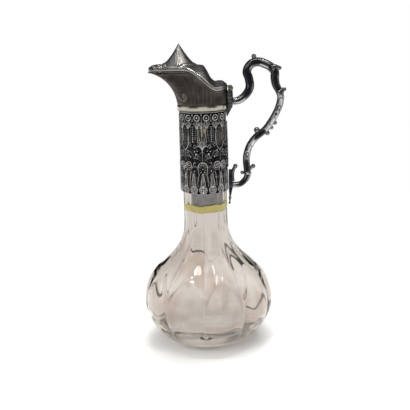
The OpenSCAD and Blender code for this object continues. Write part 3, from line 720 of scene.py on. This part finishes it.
def cup(cols=900):
    """Rings up the outside, round the bead and down the inside; a flute moves the wall in."""
    a = np.arange(cols) * 360 / cols
    x = rim_x(a)
    y = rim_half(x) * np.sign(np.sin(np.radians(a)).round(9))
    ahead = np.roll(np.stack([x, y]), -1, 1) - np.roll(np.stack([x, y]), 1, 1)
    normal = np.stack([ahead[1], -ahead[0]]) / np.hypot(*ahead)
    foot = np.stack([np.cos(np.radians(a)), np.sin(np.radians(a))])
    depth = between(3.2, 1.1, ease((-x - 0.8 * RIM_R) / (REACH - RIM_R)))
    swell = np.where(x < 0, 0.8, 0.8 * ease((np.abs(y) - 7.8) / 4))

    def ring(t, inset, drop):
        """One ring of the wall at height share t, moved in by inset, under a rim lowered by drop."""
        low = (RIM_R - inset) * foot
        high = np.stack([x, y]) - inset * normal
        go, top = high - low, rim_height(high[0]) - drop
        flat = bend(low, low + 0.05 * go, low + 0.38 * go, high, t)
        rise = top - BAND_TOP
        up = bend(BAND_TOP, BAND_TOP + 0.44 * rise, BAND_TOP + 0.87 * rise, top, t)
        return np.stack([flat[0], flat[1], up], -1)

    rows, worn = [], []
    clear_of_hinge = ease((np.abs(y) + np.clip(-x, 0, None) - 9) / 3)
    for t in np.linspace(0, 1, 58):
        fade = ease(t / 0.1) * ease((1 - t) / 0.08) * clear_of_hinge
        flute = 0.5 - 0.5 * np.cos(np.radians(a * FLUTES + 40 * np.sin(7 * t + a * 0.3)))
        curl = engraved_curl(a, t)
        rows.append(ring(t, 0.17 * flute * fade * (1 - curl) - 0.25 * curl * fade, depth))
        tone = 0.42 - 0.17 * flute * fade + 0.03 * np.sin(a * 0.7) + 0.4 * curl * fade
        worn.append(np.clip(tone, 0, 1))
    for s in np.linspace(0, 1, 14)[1:]:
        groove, crown = float(hump(s, 0.5, 0.12)), float(hump(s, 0.72, 0.2))
        out = swell * (np.sin(np.pi * 0.9 * s) ** 0.6 - 0.4 * hump(s, 0.08, 0.1) - 0.3 * groove)
        edge = np.stack([x, y]) + out * normal
        rows.append(np.stack([edge[0], edge[1], rim_height(edge[0]) - (1 - s) * depth], -1))
        worn.append(np.full(cols, 0.36 + 0.34 * crown - 0.3 * groove))
    for t in np.linspace(1, 0, 22):
        rows.append(ring(t, CUP_WALL, 0.0))
        worn.append(np.full(cols, 0.45))
    points = np.concatenate(rows)
    return points, [grid_faces(len(rows), cols, round_rows=True)], np.concatenate(worn)


make_piece("spout_wall", cup(), "jug", "dark_silver", cup_silver, "spout_cup")

# %% [markdown]
# ## The helmet lid
# The lid follows the rim of the cup in plan and rises to a pointed peak over the beak. It is
# worked as a height map over stations along the rim: a crest line, a bulge across it and a
# peak on top. Chasing is then added to the height: streaks down the peak, a ridge round its
# foot, lines along the brim and small overlapping scales on the slope behind it.

# %% Height map of the lid
PEAK_X, LID_GAP, LID_WALL = -21, 0.4, 1.4


def crest(x):
    """Height of the lid's middle line: up from the beak, level, down the slope, over a low rear dome."""
    nose, back = hump(np.minimum(x + REACH, 10.0), 10.0, 10.0), ease((x - 0.3) / 13.2)
    dome = np.clip(1 - ((x - 0.69 * RIM_R) / (0.33 * RIM_R)) ** 2, 0, None)
    fall = 0.11 * np.clip(x + 15, 0, 15) + 17.4 * back
    return between(276.8, 281.2, nose) - fall + 2.4 * dome - 1.6 * ease((x - 0.8 * RIM_R) / (0.2 * RIM_R))


def peak_share(x, y):
    """Distance from the peak's point in rounded-square measure, 1 at the peak's foot."""
    return ((np.abs(x - PEAK_X) ** 2.2 + np.abs(y) ** 2.2) ** (1 / 2.2)) / 17


def lid_height(x, y, half):
    """Edge height, plus a bulge that falls off towards the edge, plus the peak's flare."""
    edge, s = rim_height(x) + 2.4, np.clip(np.abs(y) / half, 0, 1)
    lift = 19.2 * np.clip(1 - peak_share(x, y), 0, None) ** 1.55
    roundness = between(0.55, 0.8, ease((x + 16) / 12))
    return edge + np.maximum(crest(x) - edge, 0.2) * (1 - s ** 2.2) ** roundness + lift * (1 - s ** 4)


def chasing(x, y, s):
    """Height added by the chaser's tools, in millimetres, and how bright each point is: worn edges, plus a
    painted highlight on the front of the peak.
    """
    d, turn, side = peak_share(x, y), np.arctan2(y, x - PEAK_X), np.abs(s)
    on_peak = ease((d - 0.04) / 0.12) * ease((0.8 - d) / 0.08)
    streak = 0.5 + 0.5 * np.cos(30 * turn + 2.5 * np.sin(5 * turn) + 3 * np.sin(9 * d))
    ridge = hump(d, 0.88 + 0.03 * np.sin(7 * turn), 0.06)
    # Painted highlight: a bright patch on the front face of the peak.
    peak_front_highlight = on_peak * hump(turn, -1.75, 0.75)
    brim = ease((side - 0.2) / 0.1) * ease((0.95 - side) / 0.04) * ease((d - 0.96) / 0.05)
    brim = brim * ease((4 - x) / 6)
    wave = 1.6 * np.sin(x * 0.7) + np.sin(x * 2.3)
    line = 0.5 + 0.5 * np.cos(2 * np.pi * (1 - side) * rim_half(x) / 1.7 + wave)
    slope = ease((x + 9) / 5) * ease((11.5 - x) / 2) * ease((0.93 - side) / 0.05)
    row = np.floor(x / 1.9)
    along, across = x / 1.9 - row, (y / 2.1 + 0.5 * (row % 2)) % 1 - 0.5
    scale = along * np.sqrt(np.clip(1 - (2 * across) ** 2, 0, 1))
    far = np.hypot(x - 16.6, y * 0.72)
    rings = hump(far, 6.4, 0.5) + 0.6 * hump(far, 7.6, 0.35)
    curl = np.sin(1.9 * x + 2.2 * np.sin(0.9 * y)) * np.sin(1.7 * y + 2.0 * np.sin(0.8 * x))
    curl = curl * ease((d - 0.9) / 0.08) * ease((-4 - x) / 6)
    edge = hump(side, 0.95, 0.03) * ease((x + REACH) / 9)
    height = (-0.14 * streak * on_peak + 0.5 * ridge - 0.16 * line * brim
              + 0.4 * (scale - 0.4) * slope + 0.22 * rings + 0.22 * curl + 0.2 * edge)
    bright = (0.32 - 0.14 * ease((8 - x - REACH) / 8) + 0.36 * peak_front_highlight * (1 - 0.9 * streak)
              + 0.3 * ridge + 0.22 * (0.5 - line) * brim + 0.5 * (scale - 0.3) * slope
              + 0.4 * rings + 0.3 * curl + 0.5 * edge)
    return height * ease((1 - side) / 0.05), np.clip(bright, 0, 1)


print("peak at", float(lid_height(np.array(PEAK_X), 0.0, 24.0)))

# %% Lid as a shell with a moulded edge
def lid_shell(rows=230, cols=101):
    """Upper and lower height maps, joined round the border by loops that swell into a moulding."""
    x = rim_x(np.linspace(np.degrees(np.arccos(23.9 / RIM_R)), 175, rows))[:, None]
    s = np.sin(np.radians(np.linspace(-90, 90, cols)))[None, :]
    half = rim_half(x)
    worked, bright = chasing(x, s * half, s)
    upper = np.stack(np.broadcast_arrays(x, s * half, lid_height(x, s * half, half) + worked), -1)
    middle, shrink = (x[0] + x[-1]) / 2, 1 - 2 * LID_WALL / (x[0] - x[-1])
    xi = middle + (x - middle) * shrink
    wide = np.maximum(rim_half(xi) - LID_WALL, 0.4) + LID_WALL
    under_z = lid_height(xi, s * wide, wide) - 1.1 * LID_WALL
    lower = np.stack(np.broadcast_arrays(xi, s * (wide - LID_WALL), under_z), -1)
    number = np.arange(rows * cols).reshape(rows, cols)
    loop = np.concatenate([number[0], number[1:, -1], number[-1, -2::-1], number[-2:0:-1, 0]])
    top, under = upper.reshape(-1, 3), lower.reshape(-1, 3)
    rim = top[loop]
    ahead = np.roll(rim, -1, 0) - np.roll(rim, 1, 0)
    out = np.stack([ahead[:, 1], -ahead[:, 0]], -1) / np.hypot(ahead[:, 0], ahead[:, 1])[:, None]
    beak = ease((REACH + rim[:, 0] - 1) / 6)
    loops = []
    for q in np.linspace(0, 1, 11)[1:]:
        swell = 0.38 * np.sin(np.pi * q) ** 0.8 * beak
        z = rim[:, 2] - q * (rim[:, 2] - rim_height(rim[:, 0]) - LID_GAP)
        loops.append(np.column_stack([rim[:, :2] + swell[:, None] * out, z]))
    inner = under[loop].copy()
    inner[:, 2] = rim_height(inner[:, 0]) + LID_GAP
    loops.append(inner)
    count, m = len(top), len(loop)
    rings = [loop] + [2 * count + k * m + np.arange(m) for k in range(len(loops))] + [loop + count]
    walls = [np.stack([f, g, np.roll(g, -1), np.roll(f, -1)], -1) for f, g in zip(rings[:-1], rings[1:])]
    sheet = grid_faces(rows, cols, round_cols=False)
    wear = np.concatenate([np.broadcast_to(bright, (rows, cols)).ravel(), np.full(count, 0.5),
                           np.full(m * len(loops), 0.55)])
    return np.concatenate([top, under] + loops), [sheet, sheet[:, ::-1] + count] + walls, wear


make_piece("helmet_lid", lid_shell(), "lid", "plain_silver", worked_silver, "lid")

# %% [markdown]
# ## The scrolled handle
# The handle is a cast bar that climbs from the hinge plate, arches over and runs down in
# C-scrolls to the strap. A curve object with a bevel would give a plain round bar. Here the
# section is swept as arrays, so its sides can be channelled and two stretches carry leaves.
# Balls, horns and a knuckle ring are turned or swept the same way and join the same piece.

# %% Bars, balls and horns in the jug's middle plane
def sweep(line, thick, wide, wear):
    """A closed bar along a line of (x, z): at each station an oval, thick in the plane and
    wide across it."""
    line = np.asarray(line, float)
    ahead = np.gradient(line, axis=0)
    ahead /= np.linalg.norm(ahead, axis=1)[:, None]
    thick, wide = np.atleast_2d(thick), np.atleast_2d(wide)
    cols = max(thick.shape[1], wide.shape[1], 24)
    a = np.arange(cols) * 2 * np.pi / cols
    x = line[:, :1] - ahead[:, 1:] * np.cos(a) * thick
    z = line[:, 1:] + ahead[:, :1] * np.cos(a) * thick
    return tube(np.stack(np.broadcast_arrays(x, -np.sin(a) * wide, z), -1), wear, 0.3)


def ball(x, z, r):
    """A turned bead: a sphere with a fine groove round its waist."""
    a = np.radians(np.linspace(-86, 86, 23))
    groove = 1 - 0.05 * hump(a, 0.0, 0.12)
    outline = np.stack([r * np.cos(a) * groove, r * np.sin(a)], -1)
    return lathe(outline, 28, 0.42, (x, 0, z), solid=True)


def horn(x, z, tip_x, tip_z, r, tip_r, lean=0.12):
    """A tapering, slightly curved spur from its root to a round tip."""
    t = np.linspace(0, 1, 18)[:, None]
    start, end = np.array([x, z], float), np.array([tip_x, tip_z], float)
    side = np.array([-(end - start)[1], (end - start)[0]]) * lean
    near, far = start + (end - start) * 0.3 + side, start + (end - start) * 0.7 + side
    line = bend(start, near, far, end, t)
    way = (line[-1] - line[-2]) / np.linalg.norm(line[-1] - line[-2])
    cap = np.radians(np.linspace(15, 85, 7))[:, None]
    line = np.concatenate([line, line[-1] + way * tip_r * np.sin(cap)])
    size = np.concatenate([between(r, tip_r, ease(t)), tip_r * np.cos(cap)])
    return sweep(line, size * np.ones((1, 24)), size * np.ones((1, 24)), 0.36)


print("ball points", len(ball(0, 0, 2)[0]))

# %% Route of the handle
PLATE_X, ARCH_Z, STRAP_X, HEM_Z, TOP_Z = 29.6, 280.6, 27.7, 158.0, 243.0
climb = [[0, 1.2], [6, 2.2], [12.4, 7], [16.4, 14], [15.6, 22.5], [13.8, 28]]
arch = [[15.4, -4.5], [19.4, -0.9], [25.4, 0], [30.9, -1.8], [36.4, -4.8], [40.4, -9.5],
        [40.6, -16], [41.6, -22], [44.6, -28], [46.2, -34], [44.8, -42], [41, -50.5], [36.4, -58],
        [31.4, -64.5], [26.4, -68.5], [21.4, -72.5], [16.4, -79]]
foot_run = [[13.9, 27.6], [14.8, 16.5], [14.3, 11], [11.1, 6.6], [6.9, 3.8], [0, 3.4]]
route = np.concatenate([np.array(climb) + [PLATE_X, TOP_Z], np.array(arch) + [PLATE_X, ARCH_Z],
                        [[STRAP_X + 15.1, ARCH_Z - 87]], np.array(foot_run) + [STRAP_X, HEM_Z]])


def glide(points, steps=16):
    """Smooth curve through all points: each span is a cubic whose end slopes look one point
    ahead and back."""
    ends = np.concatenate([points[:1], points, points[-1:]])
    a, b, c, d = (ends[i:len(ends) - 3 + i, None] for i in range(4))
    t = np.arange(steps)[None, :, None] / steps
    return np.concatenate([bend(b, b + (c - a) / 6, c - (d - b) / 6, c, t).reshape(-1, 2), points[-1:]])


middle_line = glide(route)
way = np.append(0, np.cumsum(np.linalg.norm(np.diff(middle_line, axis=0), axis=1)))[:, None]
print("handle points", len(middle_line), "length %.0f mm" % way[-1, 0])

# %% Handle bar, leaves, horns, balls and ring
def handle_bar(cols=44):
    """Oval bar whose thickness follows the scrolls, with side channels and two leaved stretches, and a
    broken painted highlight along the channels' edges.
    """
    share = np.linspace(0, 1, len(middle_line))[:, None]
    swell = 0.99 + 0.22 * ease(share / 0.12) * ease((0.5 - share) / 0.1) - 0.16 * ease((share - 0.85) / 0.1)
    a = (np.arange(cols) * 2 * np.pi / cols)[None, :]
    flank = np.abs(np.sin(a))
    x, z = middle_line[:, :1], middle_line[:, 1:]
    leaf = np.maximum(ease((z - 213) / 4) * ease((252 - z) / 4) * (x > 60),
                      ease((z - 186) / 4) * ease((209 - z) / 4) * (x > 40))
    lobe = np.abs(np.sin(np.pi * (way / 9.4 + 1.7 * flank + 0.25 * np.sin(way * 0.9))))
    stripe = np.abs(np.sin(3.5 * a + 0.5 * np.sin(way * 0.5)))
    cut = leaf * (0.5 * (1 - lobe) ** 3 + 0.22 * (1 - stripe) ** 3 - 0.12 * hump(flank, 0.0, 0.22))
    channel = (1 - leaf) * 0.35 * hump(flank, 1.0, 0.14) * ease(way / 6) * ease((way[-1] - way) / 6)
    rings = 0.25 * sum(hump(way, w, 0.7) for w in (6.0, 8.0)) - 0.2 * hump(way, 7.0, 0.5)
    depth = cut + channel - rings
    # Painted highlight: broken bright lines along the edges of the side channels, added to the worn tone.
    highlight_breaks = ease(0.2 + 1.1 * np.sin(way * 0.24) * np.sin(way * 0.11 + 1))
    painted_highlight = (1 - leaf) * hump(flank, 0.86, 0.13) * highlight_breaks
    leafage = leaf * (0.62 - 0.9 * (1 - lobe) ** 3 - 0.5 * (1 - stripe) ** 3)
    wear = np.clip(0.22 + 0.62 * painted_highlight + leafage - channel + 0.4 * rings, 0, 1)
    return sweep(middle_line, 3.5 * swell - depth, 3.3 * swell - depth, wear)


def knuckle_ring():
    """Three beads in a row round the bar, above the tail."""
    h = np.linspace(-1.2, 1.2, 31)
    r = 3.55 + 0.62 * np.abs(np.sin(np.pi * (h + 1.2) / 0.8)) ** 0.7
    lean, centre = np.radians(6), (STRAP_X + 14.7, 0, HEM_Z + 15)
    return lathe(np.stack([r, h], -1), 40, 0.8, centre, (np.sin(lean), 0, np.cos(lean)), solid=True)


P, A, S, H = PLATE_X, ARCH_Z, STRAP_X, HEM_Z
handle = gather([
    handle_bar(),
    horn(P + 19.9, A, P + 20.7, A + 4.6, 2.2, 1.4, 0.0), ball(P + 20.7, A + 5.3, 2.4),
    horn(P + 37.5, A - 6.5, P + 45.4, A - 6.4, 4.4, 1.8),
    horn(P + 44.9, A - 30.5, P + 49.7, A - 26.5, 4.6, 2.0),
    ball(P + 22.8, A - 65.2, 3), ball(P + 40.6, A - 58.6, 2.1), ball(P + 37.2, A - 63.2, 2.0),
    ball(P + 33.3, A - 68.4, 2.3), horn(S + 14.7, H + 16, S + 20.5, H + 21.4, 3, 1.6),
    ball(S + 20.7, H + 21.6, 2.3), ball(S + 9.7, H + 15.6, 1.8), knuckle_ring()])
make_piece("scrolled_handle", handle, "jug", "dark_silver", handle_silver, "handle")

# %% [markdown]
# ## Hinge plate, strap and pin
# Two castings hold the handle: a plate behind the cup with the fixed knuckles of the hinge on
# top, and a strap down the sleeve that ends in a drop. Both are lofts of squarish ovals, and
# their backs are pushed out to the curve of what they sit on, so that they fit it closely.

# %% Lofted castings with a fitted back
def loft(z, inner, outer, half_y, seat_r, wear, cols=64, square=0.55):
    """At each height a squarish oval from inner to outer and half_y to each side, kept outside
    a seat radius."""
    z, inner, outer, half_y, seat_r = (
        np.asarray(v, float)[:, None] for v in np.broadcast_arrays(z, inner, outer, half_y, seat_r))
    a = np.arange(cols) * 2 * np.pi / cols
    c, s = (np.sign(f) * np.abs(f) ** square for f in (np.cos(a), np.sin(a)))
    x, y = (inner + outer) / 2 + c * (outer - inner) / 2, s * half_y
    seat = np.sqrt(np.clip(seat_r ** 2 - y ** 2, 0, None)) + 0.04 + 0.4 * np.clip(c, 0, None)
    return tube(np.stack(np.broadcast_arrays(np.maximum(x, seat), y, z), -1), wear, 0.4)


def through(knots, z):
    """Straight-line values at heights z through (height, value) knots, softened over a millimetre."""
    knots = np.asarray(knots, float)
    return sum(np.interp(z + d, knots[:, 0], knots[:, 1]) for d in (-0.6, 0, 0.6)) / 3


print("points in a loft of two rows", len(loft([0, 1], 1, 2, 1, 0, 0.5)[0]))

# %% Hinge plate with its two fixed knuckles
PIN_X, PIN_Z, PLATE_TOP = 27.5, 257.24, 254.4
z = np.linspace(230, PLATE_TOP, 62)
plate_out = through([(230, 23.9), (234, 26), (240, 29.3), (250, 29.55), (PLATE_TOP, 29.3)], z)
ripple = np.abs(np.sin((z[:, None] - 230) * 0.9 + 1.4 * np.abs(np.linspace(-1, 1, 64)[None, :])))
half_plate = through([(230, 3.2), (235, 6.4), (240, 7.2), (PLATE_TOP, 7.3)], z)
seat_radius = np.where(z < 237, 23.4, np.where(z < 243.1, 24.8, 24.5))
plate = loft(z, 20.0, plate_out + 0.15, half_plate, seat_radius, 0.10 + 0.11 * ripple)
ears = []
for side in (-1, 1):
    barrel = lathe(rounded(1.12, 2.3, -2.0, 2.0, 0.45), 48, 0.35, (PIN_X, side * 5.3, PIN_Z), (0, 1, 0))
    web = loft(np.linspace(254.2, 256.0, 6), 25.3, 29.25, 2.0, 0.0, 0.2, 32, 0.5)
    web[0][:, 1] += side * 5.3
    ears += [barrel, web]
make_piece("hinge_plate", gather([plate] + ears), "jug", "dark_silver", handle_silver, "hinge_bracket")

# %% Strap with its curl, drop and bead
z = np.linspace(147.2, 176.9, 80)
strap_out = through([(147, 25.0), (156, 26.9), (158.5, 27.6), (172.5, 27.65), (176.9, 26.4)], z)
waist = [(147, 0.9), (151, 3.0), (156, 3.9), (160, 3.1), (166, 3.9), (172, 3.4), (176.9, 2.2)]
ribs = 0.1 * np.sin(z * 1.5) * np.sin(z * 0.6)
strap = loft(z, 20.0, strap_out + 0.2 + ribs, through(waist, z) * 1.15, 24.2,
             (0.10 + 1.2 * ribs)[:, None])
ends = [horn(S - 0.7, 165.2, S + 2.5, 179.2, 2.9, 1.7, 0.13), ball(S + 3.0, 180.2, 2.3),
        horn(24.9, 149, 24.4, 143.8, 1.5, 0.7, 0.0), ball(24.3, 142.8, 1.3)]
make_piece("tail_strap", gather([strap] + ends), "jug", "dark_silver", handle_silver, "lower_bracket")

# %% Pin with a domed head at both ends
head_h = np.array([7.3, 7.3, 7.35, 7.75, 8.05, 8.25, 8.3])
head_r = np.array([1.1, 1.5, 1.7, 1.65, 1.4, 0.9, 0.3])
h, r = np.concatenate([-head_h[::-1], [0], head_h]), np.concatenate([head_r[::-1], [1.1], head_r])
make_piece("hinge_rivet", lathe(np.stack([r, h], -1), 40, 0.1, (PIN_X, 0, PIN_Z), (0, 1, 0), solid=True),
           "jug", "bright_silver", polished_silver, "hinge_pin")

# %% Finishes for the CAD parts that stay
arm_silver = silver("arm_silver", (0.05, 0.048, 0.045), (0.55, 0.54, 0.52), 0.36, 0.2, 1.0, 0.15, 0.55)
for name, finish in (("lid_leaf", arm_silver), ("lip_cement", plaster)):
    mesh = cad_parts[name].data
    mesh.materials.clear()
    mesh.materials.append(finish)
print("kept CAD parts", ["lid_leaf", "lip_cement"])

# %% [markdown]
# ## Floor, light and camera
# The jug stands on a pale floor that runs out to white. Silver and glass show what is around
# them, so the world seen by reflected and refracted rays is a white studio with darker gaps
# between its panels. They draw the dark edges that make clear glass readable.

# %% Pale floor that fades to white
floor_mesh = bpy.data.meshes.new("floor")
floor_mesh.from_pydata([(-6, -6, 0), (6, -6, 0), (6, 6, 0), (-6, 6, 0)], [], [(0, 1, 2, 3)])
floor = bpy.data.objects.new("floor", floor_mesh)
bpy.context.scene.collection.objects.link(floor)
bench = Bench(bpy.data.materials.new("floor_paper"))
apart = bench.node("ShaderNodeVectorMath", {"operation": "LENGTH"}, {0: bench.place()}, out="Value")
camera_ray, mirror_ray, glass_ray = bench.rays()
far = ((apart - 0.22) / 0.5).clipped()
grain = bench.tint(bench.noise(400, 3.0), (0.88, 0.875, 0.865), (0.92, 0.915, 0.905))
paper = bench.node("ShaderNodeBsdfPrincipled", None, {"Base Color": grain, "Roughness": 0.7})
glow = bench.tint(glass_ray, (1, 1, 1), (0.80, 0.79, 0.78))
white = bench.node("ShaderNodeEmission", None, {"Color": glow, "Strength": 1.0})
share = (far * (camera_ray + mirror_ray) + glass_ray * (0.7 + far * 0.3)).clipped()
mixed = bench.node("ShaderNodeMixShader", None, {0: share, 1: paper, 2: white})
bench.node("ShaderNodeOutputMaterial", None, {"Surface": mixed})
floor_mesh.materials.append(bench.owner)
print("floor set")

# %% World of white panels and dark gaps
world = bpy.context.scene.world or bpy.data.worlds.new("studio")
bpy.context.scene.world = world
bench = Bench(world)
aim = bench.node("ShaderNodeTexCoord", out="Generated")
parts = [bench.node("ShaderNodeSeparateXYZ", None, {0: aim}, out=k) for k in range(3)]
turn = parts[1].math("ARCTAN2", parts[1], parts[0])
panel = ((turn * 4.0).math("COSINE", turn * 4.0) * 2.0 + 0.5).clipped()
roof = ((0.85 - parts[2]) * 4.0).clipped()
behind = ((parts[1] - 0.5) * 3.0).clipped()
studio = (0.10 + panel * roof * 0.82) * (1.0 - 0.92 * behind)
through_glass = 0.20 + panel * 0.56
camera_ray, mirror_ray, glass_ray = bench.rays()
strength = camera_ray + mirror_ray * studio + glass_ray * through_glass
seen = bench.node("ShaderNodeBackground", None, {"Color": (1, 1, 1, 1), "Strength": strength})
soft = bench.node("ShaderNodeBackground", None, {"Color": (1, 0.99, 0.975, 1), "Strength": 0.42})
directed = (camera_ray + mirror_ray + glass_ray).clipped()
mixed = bench.node("ShaderNodeMixShader", None, {0: directed, 1: soft, 2: seen})
bench.node("ShaderNodeOutputWorld", None, {"Surface": mixed})
print("world set")

# %% Three soft lamps, and six small ones overhead that leave glints on glass and silver
def lamp(name, spot, aim_at, width, height, watts, colour=(1, 1, 1)):
    """A rectangular soft lamp at a spot in metres, turned to face a point."""
    light = bpy.data.lights.new(name, "AREA")
    light.shape, light.size, light.size_y = "RECTANGLE", width, height
    light.energy, light.color = watts, colour
    made = bpy.data.objects.new(name, light)
    bpy.context.scene.collection.objects.link(made)
    back = np.subtract(spot, aim_at) / np.linalg.norm(np.subtract(spot, aim_at))
    right = np.cross((0, 0, 1), back)
    right /= np.linalg.norm(right)
    stand(made, np.stack([right, np.cross(back, right), back], 1), spot)
    return made


def stand(made, axes, spot):
    """Puts a lamp or camera at a spot in metres, with its three axes as columns."""
    made.matrix_world = Matrix([[*row, p] for row, p in zip(axes, spot)] + [[0, 0, 0, 1]])


for soft_lamp in (lamp("key", (-1.1, -1.5, 1.5), (0, 0, 0.18), 0.9, 1.1, 26, (1, 0.985, 0.96)),
                  lamp("fill", (1.5, -1.0, 0.9), (0, 0, 0.18), 0.8, 1.2, 14, (0.96, 0.98, 1)),
                  lamp("top", (0.2, 0.9, 1.9), (0, 0, 0.15), 1.2, 0.9, 24)):
    soft_lamp.visible_glossy = soft_lamp.visible_transmission = False
overhead = [(-0.7, -0.5, 2.1), (-0.25, -0.6, 2.3), (0.0, -0.45, 2.2), (0.4, -0.6, 2.2),
            (-0.1, 0.3, 2.2), (0.9, -0.1, 1.9)]
for k, spot in enumerate(overhead):
    lamp("ceiling_%d" % k, spot, (0, 0, 0.2), 0.13, 0.13, 4.2)

# %% Camera fitted to the picture's outline
pitch, roll = np.radians(14.36), np.radians(-1.79)
right, up = np.array([1.0, 0, 0]), np.array([0, np.sin(pitch), np.cos(pitch)])
back = np.array([0, -np.cos(pitch), np.sin(pitch)])
axes = [right * np.cos(roll) + up * np.sin(roll), up * np.cos(roll) - right * np.sin(roll), back]
eye = bpy.data.cameras.new("camera")
eye.sensor_width, eye.lens, eye.shift_x = 36.0, 55.7, -0.65 / 410
camera = bpy.data.objects.new("camera", eye)
bpy.context.scene.collection.objects.link(camera)
stand(camera, np.stack(axes, 1), (0, -0.62, 0.30))
bpy.context.scene.camera = camera
bpy.context.scene.view_settings.view_transform = "Standard"
print("camera at", tuple(camera.location))

# %% Light bounces
# Inside thick glass a ray is turned back many times, and each turn counts as a glossy bounce
bpy.context.scene.cycles.max_bounces = bpy.context.scene.cycles.transmission_bounces = 20
bpy.context.scene.cycles.glossy_bounces = 12
print("glossy bounces", bpy.context.scene.cycles.glossy_bounces)
